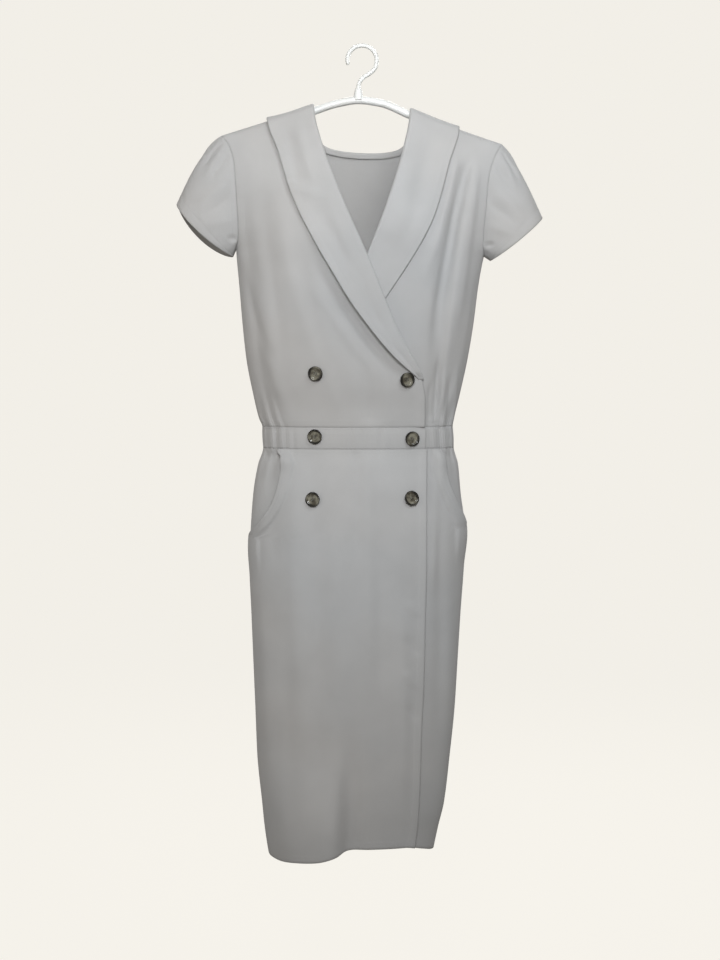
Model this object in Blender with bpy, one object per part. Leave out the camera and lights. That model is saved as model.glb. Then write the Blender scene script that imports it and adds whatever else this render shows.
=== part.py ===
"""A short-sleeved wrap blazer dress hanging on a plain plastic hanger.

All sizes below are in millimetres and are turned into metres when a piece is made.
The front of the dress faces -Y, its viewer's right is +X and up is +Z. The origin is
the inner top of the hanger's hook, where a rail carries it. The words right and left in
the names of pieces are the wearer's, so the right front is on the -X side.
"""

import math

import bpy
import bmesh
import numpy as np

MILLIMETRE = 0.001

# Colours
DOVE_GREY = (0.50, 0.50, 0.515)
WHITE = (0.86, 0.86, 0.85)
DARK_HORN = (0.045, 0.04, 0.032)

# Thickness of the cloths and the gaps between neighbours
CLOTH = 1.2
LAPEL_CLOTH = 2.0
SEAM_GAP = 0.3
LAYER_GAP = 0.5
LAPEL_GAP = 0.9
ARMHOLE_GAP = 0.5
FOLDED_OVER = CLOTH + LAYER_GAP
OVER_LAPEL = LAPEL_GAP + LAPEL_CLOTH + LAYER_GAP + CLOTH

# Hanger
BAR_RADIUS = 5.2
BAR_CLEARANCE = 0.4
OVER_BAR = BAR_RADIUS + BAR_CLEARANCE + CLOTH
SLOPE_ALLOWANCE = 0.6
HOOK_RADIUS = 2.8
HOOK_BEND = 20.0
HOOK_TURN_HEIGHT = HOOK_RADIUS - HOOK_BEND

# Middle line of the hanger's bar: x, z
BAR = (
    (-210.0, -131.0),
    (-190.0, -124.6),
    (-127.0, -105.0),
    (-68.0, -85.5),
    (-34.0, -74.5),
    (-5.0, -70.0),
    (24.0, -73.5),
    (65.0, -90.0),
    (131.0, -116.0),
    (188.0, -135.5),
    (210.0, -142.5),
)
BAR_END_LEFT = -184.0
BAR_END_RIGHT = 182.0
BAR_SEGMENTS = 2
BAR_STATIONS = (-150.0, -115.0, -80.0, -60.0, -45.5, -31.0, -16.5, -2.0, 12.5, 27.0, 41.5, 56.0,
                80.0, 115.0, 150.0)
# Rounding of the bar's ends: how far out, share of the radius
BAR_TIPS = (
    (0.0, 1.0),
    (3.0, 0.78),
    (4.0, 0.45),
)
# Stem of the hook: x, z
HOOK_X = -5.0
HOOK_STEM = (
    (-5.0, -70.0),
    (-5.0, -54.0),
    (-3.6, -47.0),
    (1.5, -40.0),
)
# Turns of the hook round its bend, in degrees
HOOK_TURNS = (-62, -40, -18, 6, 30, 54, 78, 90, 102, 126, 150, 174, 196)
HOOK_TIP = 0.8
BOSS_LOW_RADIUS = 7.4
BOSS_HIGH_RADIUS = 4.4
BOSS_HEIGHT = 15.0
BOSS_MIDDLE = -62.5
BOSS_SEGMENTS = 12
SHOULDER_POINT_LEFT = -189.5
SHOULDER_POINT_RIGHT = 188.5

# Rings round the body: height, left side, right side, front depth, back depth
RINGS = (
    (-60.0, -232.0, 232.0, 52.0, 44.0),
    (-120.0, -217.0, 214.0, 55.0, 46.0),
    (-160.0, -205.0, 201.0, 58.0, 48.0),
    (-200.0, -193.0, 189.0, 61.0, 51.0),
    (-240.0, -181.0, 177.0, 64.0, 54.0),
    (-272.0, -171.6, 169.0, 66.0, 56.0),
    (-282.0, -170.9, 165.8, 66.0, 56.0),
    (-322.0, -167.4, 158.6, 67.0, 56.0),
    (-370.0, -163.6, 152.7, 66.0, 54.0),
    (-420.0, -158.4, 144.6, 63.0, 50.0),
    (-469.0, -149.1, 134.0, 58.0, 45.0),
    (-501.0, -141.5, 126.5, 55.0, 42.0),
    (-512.0, -137.0, 124.7, 54.0, 41.0),
    (-540.0, -136.0, 126.2, 54.0, 42.0),
    (-564.0, -143.2, 132.4, 61.0, 50.0),
    (-602.0, -149.8, 136.0, 69.0, 60.0),
    (-661.0, -154.3, 143.0, 76.0, 70.0),
    (-700.0, -155.9, 141.4, 78.0, 72.0),
    (-767.0, -153.5, 136.9, 77.0, 71.0),
    (-834.0, -151.1, 133.1, 75.0, 69.0),
    (-902.0, -148.6, 129.2, 72.0, 66.0),
    (-970.0, -146.2, 122.6, 69.0, 63.0),
    (-1037.0, -139.8, 115.0, 66.0, 60.0),
    (-1072.0, -136.4, 106.8, 64.0, 58.0),
    (-1110.0, -131.0, 99.0, 63.0, 57.0),
)
SQUARENESS = 2.2

# Length of the cloth round the body: height, girth
GIRTHS = (
    (-285.0, 770.0),
    (-340.0, 768.0),
    (-400.0, 756.0),
    (-460.0, 722.0),
    (-512.0, 686.0),
    (-540.0, 686.0),
    (-620.0, 790.0),
    (-700.0, 846.0),
    (-900.0, 812.0),
    (-1095.0, 740.0),
)
BACK_FOLDS = 6
BACK_COLUMNS = 36
BACK_UNEVENNESS = 0.02
BACK_FOLD_SWELL = 0.34
BACK_FOLD_LIMIT = 13.0
BACK_FOLD_START = 250.0
BACK_FOLD_FULL = 410.0

# How the cloth leaves the bar and opens out below the shoulder
OPENING_DROP = 190.0
OPENING_POWER = 0.8

# Armhole seams: height, x
ARMHOLE_LEFT = (
    (-118.0, -189.5),
    (-134.0, -178.0),
    (-158.0, -172.0),
    (-199.0, -169.0),
    (-240.0, -167.0),
    (-262.0, -167.6),
    (-273.0, -171.6),
)
ARMHOLE_RIGHT = (
    (-129.0, 188.5),
    (-145.0, 179.8),
    (-174.0, 170.6),
    (-217.0, 166.9),
    (-250.0, 164.0),
    (-268.0, 163.4),
    (-283.0, 165.8),
)

# Roll lines and edges of the fronts: height, x
ROLL_RIGHT_FRONT = (
    (-60.0, -69.0),
    (-86.0, -67.5),
    (-144.0, -52.9),
    (-183.0, -38.5),
    (-222.0, -22.6),
    (-282.0, 3.9),
    (-341.0, 27.8),
    (-394.0, 50.6),
    (-427.0, 69.5),
    (-449.0, 79.5),
    (-474.0, 83.5),
    (-512.0, 84.2),
)
ROLL_LEFT_FRONT = (
    (-60.0, 69.0),
    (-92.0, 67.3),
    (-144.0, 56.8),
    (-209.0, 37.1),
    (-262.0, 17.2),
    (-284.0, 7.9),
    (-341.0, -20.0),
    (-394.0, -48.0),
    (-427.0, -68.0),
    (-449.0, -79.5),
    (-474.0, -83.5),
    (-512.0, -84.2),
)
# Outer edges of the lapels: height, x
LAPEL_RIGHT = (
    (-60.0, -128.5),
    (-98.0, -127.0),
    (-144.0, -111.1),
    (-190.0, -96.7),
    (-225.0, -82.2),
    (-262.0, -62.5),
    (-308.0, -36.0),
    (-345.0, -13.4),
    (-387.0, 17.2),
    (-418.0, 43.9),
    (-436.0, 64.0),
    (-450.0, 80.5),
)
LAPEL_LEFT = (
    (-60.0, 131.0),
    (-110.0, 130.0),
    (-157.0, 116.3),
    (-196.0, 105.9),
    (-229.0, 95.4),
    (-262.0, 79.6),
    (-299.0, 57.1),
    (-325.0, 39.8),
    (-345.0, 26.0),
    (-387.0, -12.0),
    (-418.0, -42.0),
    (-436.0, -63.0),
    (-450.0, -80.5),
)
LAPEL_TIP = -446.0
LAPEL_LENGTH = 355.0
LAPEL_DROPS = (0.0, 0.9, 3.4, 7.0, 14.0, 26.0, 44.0, 70.0, 100.0, 130.0, 158.0, 184.0, 210.0, 238.0,
               266.0, 292.0, 316.0, 338.0, 355.0)
LAPEL_NARROWEST = 4.5
LAPEL_SEWN_DROP = 30.0
LAPEL_SETTLING = 5
# How high a lapel puffs beside its roll line and how far its edge stands off
LAPEL_PUFF = 2.6
LAPEL_EDGE_LIFT = 1.2
LAPEL_LEFT_EDGE_LIFT = 1.4
LAPEL_STAND = 5.0
# Heights between which the left lapel goes under the right front and flattens
LAPEL_COVERED = (-246.0, -272.0)

# Back neck, from a shoulder seam to the middle: half width, drop below the shoulder seams
BACK_NECK = (
    (68.9, 0.0),
    (68.8, 0.9),
    (68.5, 3.4),
    (68.1, 7.0),
    (67.4, 14.0),
    (65.6, 28.0),
    (59.5, 43.0),
    (44.0, 52.5),
    (21.0, 55.8),
    (0.0, 56.5),
)
BINDING_WIDTH = 7.0
BINDING_CLOTH = 1.0
BINDING_GAP = 1.0

# Waist
BODICE_END = -511.0
BAND_TOP = BODICE_END - SEAM_GAP
BAND_END = -540.3
SKIRT_TOP = BAND_END - SEAM_GAP
FRONT_EDGE_HIDDEN = -84.0

# Front edge of the upper skirt: height, x
SKIRT_EDGE = (
    (-540.0, 87.0),
    (-607.0, 86.0),
    (-708.0, 85.8),
    (-757.0, 84.6),
    (-855.0, 82.9),
    (-921.0, 80.2),
    (-987.0, 78.6),
    (-1054.0, 75.6),
    (-1100.0, 70.0),
)
# Slanted pocket edges: height, x
POCKET_LEFT = (
    (-540.0, -112.5),
    (-549.0, -110.0),
    (-561.0, -106.0),
    (-581.0, -109.5),
    (-601.0, -115.0),
    (-619.0, -122.6),
    (-634.0, -132.4),
    (-646.0, -142.0),
    (-657.0, -152.0),
    (-661.0, -154.4),
)
POCKET_RIGHT = (
    (-540.0, 106.6),
    (-565.0, 109.9),
    (-584.0, 114.6),
    (-601.0, 120.6),
    (-616.0, 127.2),
    (-631.0, 134.6),
    (-644.0, 140.6),
    (-649.0, 142.4),
)
POCKET_END_LEFT = -659.0
POCKET_END_RIGHT = -647.0
POCKET_GAPE = 4.0
POCKET_GAPE_REACH = 14.0
# Where the skirt's lift over the side piece ends: past the piece's edge, and below the pocket
POCKET_OVER = (1.5, 7.0)
POCKET_BELOW = (12.0, 60.0)
POCKET_UNDER = 10.0
POCKET_SHORT = -2.0
POCKET_LAYER = CLOTH + 1.5

# Hem of the fronts: x, height
HEM_FRONT = (
    (-140.0, -1106.0),
    (-118.0, -1106.0),
    (-90.0, -1103.0),
    (-60.0, -1099.0),
    (-38.0, -1093.0),
    (-20.0, -1088.0),
    (0.0, -1087.0),
    (60.0, -1088.0),
    (84.0, -1094.0),
    (104.0, -1103.0),
)
# The back's hem is higher in the middle and meets the fronts' at the side seams
HEM_BACK = -1093.0
HEM_BACK_SIDE = -1103.5
# Rows of the skirt, as drops below the waistband, and columns of its fronts by x where they lap
FRONT_SKIRT_DROPS = (0.0, 10.0, 22.0, 40.0, 60.0, 80.0, 97.0, 108.0, 116.0, 122.0, 140.0, 190.0,
                     270.0, 350.0, 410.0, 460.0, 505.0, 545.0)
BACK_SKIRT_DROPS = (0.0, 12.0, 30.0, 60.0, 110.0, 175.0, 260.0, 350.0, 440.0, 510.0, 552.4)
OVERLAP_STATIONS = (-84.0, -62.0, -46.0, -37.0, -31.0, -25.0, -18.0, -8.0, 12.0, 36.0, 60.0)
SIDE_COLUMNS = 7
HEM_SETTLING = 3
HEM_STEP_X = -27.0
HEM_STEP_SOFTNESS = 7.0
HEM_STEP_DEPTH = 26.0
HEM_STEP_START = -940.0

# Folds of the fronts: top x, top z, middle x, low x, low z, depth, half width
FRONT_FOLDS = (
    (139.0, -145.0, 103.0, 97.0, -500.0, -7.0, 9.0),
    (154.0, -150.0, 128.0, 112.0, -430.0, 4.0, 8.0),
    (-152.0, -135.0, -128.0, -112.0, -470.0, 2.5, 11.0),
    (-160.0, -200.0, -146.0, -126.0, -508.0, -3.0, 9.0),
)
# Columns of each front: lines of folds they follow, from the side inwards, and steps between them
FRONT_GUIDES = {
    -1: {"lines": ((3, 0.0), (2, 0.0)), "steps": (3, 3, 11)},
    1: {"lines": ((1, 0.0), (0, 0.0), (0, -16.0)), "steps": (4, 3, 3, 7)},
}
# Gathers at the elastic, at each side of the fronts: reach from the side seam, wave, depth
SIDE_GATHER_REACH = 44.0
SIDE_GATHER_WAVE = 14.0
SIDE_GATHER_DEPTH = 1.6
SIDE_GATHER_FADE = 70.0

# Rows of the bodice, as drops below the shoulder seam for a panel 400 long
UNDERARM_DROP = 155.0
# Heights between which the inner columns pass from the armhole's line to the side seam's
ARMHOLE_EASE = (-215.0, -400.0)
ARMHOLE_FADE = 11
BODICE_LENGTH = 400.0
DROPS_ABOVE_UNDERARM = (0.0, 0.9, 3.4, 7.0, 14.0, 26.0, 44.0, 66.0, 90.0, 112.0, 130.0, 143.0, 151.0, 155.0)
DROPS_BELOW_UNDERARM = (185.0, 225.0, 270.0, 312.0, 350.0, 380.0, 400.0)
BODICE_DROPS = DROPS_ABOVE_UNDERARM + DROPS_BELOW_UNDERARM

# Sleeves: ends of the hem's chord, half depth, how far its front and back hang below the chord
SLEEVE_RIGHT = ((-252.0, -209.5), (-175.5, -280.0), 38.0, 7.0, 14.0, 7.0)
SLEEVE_LEFT = ((245.5, -228.0), (175.0, -286.0), 36.0, 3.0, -1.0, 4.0)
SLEEVE_HANG_POWER = 1.5
SLEEVE_STATIONS = (0.0, 0.07, 0.17, 0.34, 0.56, 0.79, 1.0)
SLEEVE_GATHERS = 5
SLEEVE_GATHER_DEPTH = 1.6
SLEEVE_GATHER_REACH = 0.34
SLEEVE_FULLNESS = 3.0
# Way that a sleeve's head stands off the shoulder point: outwards, up
SLEEVE_HEAD_WAY = (0.82, 0.57)

# Buttons: x, z
BUTTONS = (
    ("button_top_right", -61.2, -438.0),
    ("button_top_left", 59.0, -446.2),
    ("button_waist_right", -62.8, -523.5),
    ("button_waist_left", 66.6, -526.5),
    ("button_low_right", -65.6, -607.3),
    ("button_low_left", 65.4, -606.0),
)
BUTTON_RADIUS = 10.2
BUTTON_SEGMENTS = 14
BUTTON_LIFT = 0.5
# Profile of a button: radius, height
BUTTON_PROFILE = (
    (0.0, 0.0),
    (8.2, 0.0),
    (10.2, 1.5),
    (8.9, 3.3),
    (6.6, 2.0),
    (0.0, 1.7),
)
HOLE_RADIUS = 0.9
HOLE_SEGMENTS = 6
HOLE_REACH = 1.37
HOLE_DEPTH = 8.0
# Turns of the ends of the back neck binding's inside leg: drops where it goes under and opens out
BINDING_UNDER = (9.0, 15.0)
BINDING_LEG = (14.0, 26.0)


def smooth_step(start, end, value):
    """0 before start, 1 after end and an even rise between them."""
    part = np.clip((np.asarray(value, float) - start) / (end - start), 0.0, 1.0)
    return part * part * (3.0 - 2.0 * part)


def line_through(table, place=0, value=1):
    """A smooth line through the rows of a table, without overshoot."""
    rows = sorted(table, key=lambda row: row[place])
    at = np.array([row[place] for row in rows], float)
    values = np.array([row[value] for row in rows], float)
    width = np.diff(at)
    slope = np.diff(values) / width
    tangent = np.empty_like(values)
    tangent[0] = slope[0]
    tangent[-1] = slope[-1]
    before = slope[:-1]
    after = slope[1:]
    same_way = before * after > 0.0
    total = np.where(same_way, before + after, 1.0)
    tangent[1:-1] = np.where(same_way, 2.0 * before * after / total, 0.0)

    def line(query):
        query = np.clip(np.asarray(query, float), at[0], at[-1])
        index = np.clip(np.searchsorted(at, query, side="right") - 1, 0, len(at) - 2)
        part = (query - at[index]) / width[index]
        square = part * part
        cube = square * part
        return (
            (2.0 * cube - 3.0 * square + 1.0) * values[index]
            + (cube - 2.0 * square + part) * width[index] * tangent[index]
            + (3.0 * square - 2.0 * cube) * values[index + 1]
            + (cube - square) * width[index] * tangent[index + 1]
        )

    return line


bar_height = line_through(BAR)
side_left = line_through(RINGS, 0, 1)
side_right = line_through(RINGS, 0, 2)
depth_front = line_through(RINGS, 0, 3)
depth_back = line_through(RINGS, 0, 4)
girth_wanted = line_through(GIRTHS)
armhole_left = line_through(ARMHOLE_LEFT)
armhole_right = line_through(ARMHOLE_RIGHT)
roll_right_front = line_through(ROLL_RIGHT_FRONT)
roll_left_front = line_through(ROLL_LEFT_FRONT)
lapel_edge_right = line_through(LAPEL_RIGHT)
lapel_edge_left = line_through(LAPEL_LEFT)
skirt_edge = line_through(SKIRT_EDGE)
pocket_edge_left = line_through(POCKET_LEFT)
pocket_edge_right = line_through(POCKET_RIGHT)
hem_front = line_through(HEM_FRONT)


def shoulder_height(x):
    """Height of the cloth's outer face where it lies over the bar."""
    return bar_height(x) + OVER_BAR + SLOPE_ALLOWANCE


def ring_middle(z):
    """Middle and half width of the ring at a height."""
    left = side_left(z)
    right = side_right(z)
    return 0.5 * (left + right), 0.5 * (right - left)


def turn_at(x, z):
    """Turn round the body of the front point with this x, 0 at the middle of the ring."""
    middle, half = ring_middle(z)
    return np.arcsin(np.clip((x - middle) / half, -1.0, 1.0))


def fold_line(fold, z):
    """The x of a fold's line at a height, and how far along the fold that is."""
    top_x, top_z, middle_x, low_x, low_z = fold[:5]
    part = np.clip((z - top_z) / (low_z - top_z), 0.0, 1.0)
    return top_x * (1.0 - part) ** 2 + 2.0 * middle_x * part * (1.0 - part) + low_x * part ** 2, part


def front_fold_depth(x, z):
    """Outward depth of the hand-placed folds of the fronts."""
    total = np.zeros(np.broadcast(x, z).shape)
    for fold in FRONT_FOLDS:
        depth, half_width = fold[5:]
        curve, part = fold_line(fold, z)
        strength = np.sqrt(np.clip(4.0 * part * (1.0 - part), 0.0, 1.0))
        total = total + depth * strength * np.exp(-(((x - curve) / half_width) ** 2))
    return total


def side_gather_depth(x, z):
    """Small gathers of the fronts beside the side seams, strongest at the elastic."""
    middle, half = ring_middle(z)
    reach = half - np.abs(x - middle)
    strength = 1.0 - smooth_step(0.4 * SIDE_GATHER_REACH, SIDE_GATHER_REACH, reach)
    strength = strength * smooth_step(0.0, 6.0, reach)
    away = np.where(z > BAND_TOP, z - BAND_TOP, np.where(z < BAND_END, BAND_END - z, 0.0))
    strength = strength * (1.0 - smooth_step(0.0, SIDE_GATHER_FADE, away))
    return SIDE_GATHER_DEPTH * strength * np.cos(2.0 * math.pi * reach / SIDE_GATHER_WAVE)


def hem_step_depth(x, z):
    """The left part of the fronts stands forward towards the hem, with a soft step."""
    growth = smooth_step(-HEM_STEP_START, 1090.0, -z)
    reach = 1.0 / (1.0 + np.exp((x - HEM_STEP_X) / HEM_STEP_SOFTNESS))
    return HEM_STEP_DEPTH * growth * reach


def back_wave(turn):
    """Uneven wave of the back's folds; it dies out towards the side seams."""
    across = (np.abs(turn) - 0.5 * math.pi) / math.pi
    across = np.where(turn < 0.0, 1.0 - across, across)
    uneven = across + BACK_UNEVENNESS * np.sin(5.0 * math.pi * across)
    wave = -np.cos(2.0 * math.pi * BACK_FOLDS * uneven)
    size = 1.0 + BACK_FOLD_SWELL * np.sin(7.0 * across + 0.8)
    fade = smooth_step(0.1, 0.7, np.abs(np.cos(turn)))
    return wave * size * fade


def body(turn, z, back_fold=0.0, folded=True):
    """Point of the cloth's outer face at a turn round the body and a height.

    The turn is 0 at the front, a quarter turn at the right side and a half turn at the
    middle of the back. Above the underarm the ring is wider than the cloth.
    """
    turn, z = np.broadcast_arrays(np.asarray(turn, float), np.asarray(z, float))
    middle, half = ring_middle(z)
    x = middle + half * np.sin(turn)
    front = np.cos(turn) >= 0.0
    roundness = np.abs(np.cos(turn)) ** (2.0 / SQUARENESS)
    drop = np.maximum(shoulder_height(x) - z, 0.0)
    opening = np.sin(0.5 * math.pi * np.clip(drop / OPENING_DROP, 0.0, 1.0)) ** OPENING_POWER
    over_bar = np.sqrt(np.clip(1.0 - (1.0 - np.minimum(drop / OVER_BAR, 1.0)) ** 2, 0.0, 1.0))
    over_bar = OVER_BAR * over_bar * (1.0 - smooth_step(10.0, 130.0, drop))
    depth = np.where(front, depth_front(z), depth_back(z))
    if folded:
        placed = (front_fold_depth(x, z) + side_gather_depth(x, z)) * smooth_step(0.0, 60.0, drop)
        placed = placed + hem_step_depth(x, z) * roundness
        placed = placed * smooth_step(0.0, 0.3, roundness)
        depth = depth + np.where(front, placed / np.maximum(roundness, 0.2), 0.0)
    out = depth * roundness * opening + over_bar
    out = out + np.where(front, 0.0, back_fold * back_wave(turn))
    y = np.where(front, -out, out)
    return np.stack([x, y, z + 0.0 * x], axis=-1)


def ring_length(z, fold):
    """Length of the cloth once round the body."""
    turn = np.linspace(-math.pi, math.pi, 721)
    points = body(turn, z, fold)
    return float(np.linalg.norm(np.diff(points, axis=0), axis=1).sum())


def solve_back_folds():
    """Depth of the back's folds that gives each ring its girth: height, depth."""
    rows = []
    for z in np.linspace(-285.0, -1095.0, 28):
        low = 0.0
        high = BACK_FOLD_LIMIT
        wanted = float(girth_wanted(z))
        for _ in range(24):
            guess = 0.5 * (low + high)
            if ring_length(z, guess) < wanted:
                low = guess
            else:
                high = guess
        rows.append((z, guess * float(smooth_step(BACK_FOLD_START, BACK_FOLD_FULL, -z))))
    rows.append((-240.0, 0.0))
    rows.append((-60.0, 0.0))
    return rows


BACK_FOLD_ROWS = solve_back_folds()
back_fold_depth = line_through(BACK_FOLD_ROWS)


def cloth_point(turn, z, folded=True):
    """Point and outward normal of the cloth's outer face."""
    turn, z = np.broadcast_arrays(np.asarray(turn, float), np.asarray(z, float))
    small = 1e-5
    slip = 1e-4

    def at(a, b):
        return body(a, b, back_fold_depth(b), folded)

    point = at(turn, z)
    across = at(turn + small, z) - at(turn - small, z)
    down = at(turn, z - slip) - point
    normal = np.cross(down, across)
    normal = normal / np.linalg.norm(normal, axis=-1, keepdims=True)
    return point, normal


def cloth_finish(name):
    """The dress's own cloth."""
    return shade(name, DOVE_GREY, 0.85)


def bodice_drop(drop, length):
    """Drop below the shoulder for a panel of another length."""
    return drop + (length - BODICE_LENGTH) * (drop / BODICE_LENGTH) ** 2


def signed_volume(points, faces):
    """Volume inside a closed mesh, positive when its faces look outwards."""
    total = 0.0
    for face in faces:
        first = points[face[0]]
        for i in range(1, len(face) - 1):
            total += float(np.dot(first, np.cross(points[face[i]], points[face[i + 1]])))
    return total / 6.0


def add_mesh(name, points, faces, material):
    """One named object from points in millimetres and faces."""
    points = np.asarray(points, float)
    if signed_volume(points, faces) < 0.0:
        faces = [tuple(reversed(face)) for face in faces]
    mesh = bpy.data.meshes.new(name)
    mesh.from_pydata([tuple(p * MILLIMETRE) for p in points], [], faces)
    mesh.update()
    item = bpy.data.objects.new(name, mesh)
    parts_collection.objects.link(item)
    mesh.materials.append(material)
    for polygon in mesh.polygons:
        polygon.use_smooth = True
    return item


def add_shell(name, outer, inner, material, closed_round=False):
    """A closed cloth wall between an outer and an inner grid of points."""
    rows, columns = outer.shape[:2]
    points = np.concatenate([outer.reshape(-1, 3), inner.reshape(-1, 3)])
    offset = rows * columns
    faces = []
    last = columns if closed_round else columns - 1
    for i in range(rows - 1):
        for j in range(last):
            k = (j + 1) % columns
            a, b, c, d = i * columns + j, i * columns + k, (i + 1) * columns + k, (i + 1) * columns + j
            faces.append((a, b, c, d))
            faces.append((a + offset, d + offset, c + offset, b + offset))
    for j in range(last):
        k = (j + 1) % columns
        low = (rows - 1) * columns
        faces.append((j, j + offset, k + offset, k))
        faces.append((low + j, low + k, low + k + offset, low + j + offset))
    if not closed_round:
        for i in range(rows - 1):
            a, b = i * columns, (i + 1) * columns
            faces.append((a, b, b + offset, a + offset))
            a, b = a + columns - 1, b + columns - 1
            faces.append((a, a + offset, b + offset, b))
    return add_mesh(name, points, faces, material)


def walls(turn, z, outside, thickness, shift, folded=True):
    """Outer and inner faces of a cloth at an offset from the body's face."""
    point, normal = cloth_point(turn, z, folded)
    point = point + np.array([0.0, shift, 0.0])
    outside = np.asarray(outside, float)[..., None]
    return point + normal * outside, point + normal * (outside - thickness)


def right_front_offset(x, z):
    """How far the upper front lies outside the body's face."""
    start = side_left(z) + 8.0
    across = smooth_step(0.0, 1.0, (x - start) / (-92.0 - start))
    below_neck = smooth_step(110.0, 274.0, -z)
    over_lapel = below_neck * (1.0 - smooth_step(452.0, 490.0, -z))
    return across * (FOLDED_OVER * below_neck + (OVER_LAPEL - FOLDED_OVER) * over_lapel)


def pocket_lift(x, z, edge, end):
    """How far the skirt stands off at its slanted pocket edge."""
    reach = np.abs(x - edge(z))
    near = np.exp(-((reach / POCKET_GAPE_REACH) ** 2))
    along = np.clip((z - end) / (SKIRT_TOP - end), 0.0, 1.0)
    gape = POCKET_GAPE * np.sqrt(np.clip(4.0 * along * (1.0 - along), 0.0, 1.0)) * near
    over_start, over_end = POCKET_OVER
    below_start, below_end = POCKET_BELOW
    over_piece = 1.0 - smooth_step(POCKET_UNDER + over_start, POCKET_UNDER + over_end, reach)
    below = smooth_step(-end + below_start, -end + below_end, -z)
    return POCKET_LAYER * over_piece * (1.0 - below) + gape


def shade(name, colour, roughness):
    """A plain finish."""
    material = bpy.data.materials.new(name)
    material.use_nodes = True
    shader = material.node_tree.nodes["Principled BSDF"]
    shader.inputs["Base Color"].default_value = (*colour, 1.0)
    shader.inputs["Roughness"].default_value = roughness
    return material


def grid_top(x_guess, place, top):
    """Height of the top of each column, where the panel's own line crosses it."""
    z = top(x_guess)
    for _ in range(12):
        x = place(z)
        z = top(x)
    return z


def eased_turn(edge, z):
    """Turn, without its sign, that the inner columns take for the armhole and the side seam."""
    start, end = ARMHOLE_EASE
    high = np.maximum(z, start)
    at_armhole = np.abs(turn_at(edge(high), high))
    return at_armhole + (0.5 * math.pi - at_armhole) * smooth_step(-start, -end, -z)


def seam_turn(edge, z, underarm):
    """Turn, without its sign, of the armhole's edge and of the side seam below it."""
    return np.where(z > underarm + 1e-6, np.abs(turn_at(edge(z), z)), 0.5 * math.pi)


def front_bodice(name, side, material):
    """One front of the bodice: side or armhole, waist, roll line and shoulder seam."""
    left = side < 0
    armhole = armhole_left if left else armhole_right
    point_x = SHOULDER_POINT_LEFT if left else SHOULDER_POINT_RIGHT
    roll = roll_right_front if left else roll_left_front
    top_z = float(shoulder_height(point_x))
    length = top_z - BODICE_END
    underarm = top_z - float(bodice_drop(UNDERARM_DROP, length))
    guides = FRONT_GUIDES[side]
    fractions = []
    for number, steps in enumerate(guides["steps"]):
        fractions.extend(number + np.arange(steps) / steps)
    fractions.append(float(len(guides["steps"])))
    drops = np.array(BODICE_DROPS)

    def guide_turn(number, z):
        """Turn of the side edge, of a fold's line or of the roll line."""
        if number == 0:
            return side * eased_turn(armhole, z)
        if number == len(guides["steps"]):
            return turn_at(roll(z), z)
        fold, shift = guides["lines"][number - 1]
        return turn_at(fold_line(FRONT_FOLDS[fold], z)[0] + shift, z)

    def turn_of(fraction, z):
        number = min(int(fraction), len(guides["steps"]) - 1)
        before = guide_turn(number, z)
        return before + (guide_turn(number + 1, z) - before) * (fraction - number)

    seam_z = top_z - bodice_drop(drops, length)
    aside = side * (seam_turn(armhole, seam_z, underarm) - eased_turn(armhole, seam_z))
    turns = np.empty((len(drops), len(fractions)))
    heights = np.empty_like(turns)
    for j, fraction in enumerate(fractions):
        def place(z, fraction=fraction):
            middle, half = ring_middle(z)
            return middle + half * np.sin(turn_of(fraction, z))

        column_top = float(grid_top(point_x, place, shoulder_height)) if j else top_z
        own = column_top - bodice_drop(drops, column_top - BODICE_END)
        heights[:, j] = own
        turns[:, j] = turn_of(fraction, own) + aside * max(1.0 - fraction, 0.0) ** ARMHOLE_FADE
    middle, half = ring_middle(heights)
    x = middle + half * np.sin(turns)
    offset = right_front_offset(x, heights) if left else np.zeros_like(x)
    outer, inner = walls(turns, heights, offset, CLOTH, -0.5 * SEAM_GAP)
    add_shell(name, outer, inner, material)
    count = len(DROPS_ABOVE_UNDERARM)
    return outer[:count, 0], inner[:count, 0]


def even_share(number, count):
    """Share across the back of a column, so that columns fall on its folds."""
    share = number / count
    return share - BACK_UNEVENNESS * math.sin(5.0 * math.pi * share)


def back_turns():
    """Turns of all columns of the back, from the right side seam to the left one."""
    shares = [even_share(number, BACK_COLUMNS) for number in range(BACK_COLUMNS + 1)]
    return 0.5 * math.pi + math.pi * np.array(shares)[None, :]


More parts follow.
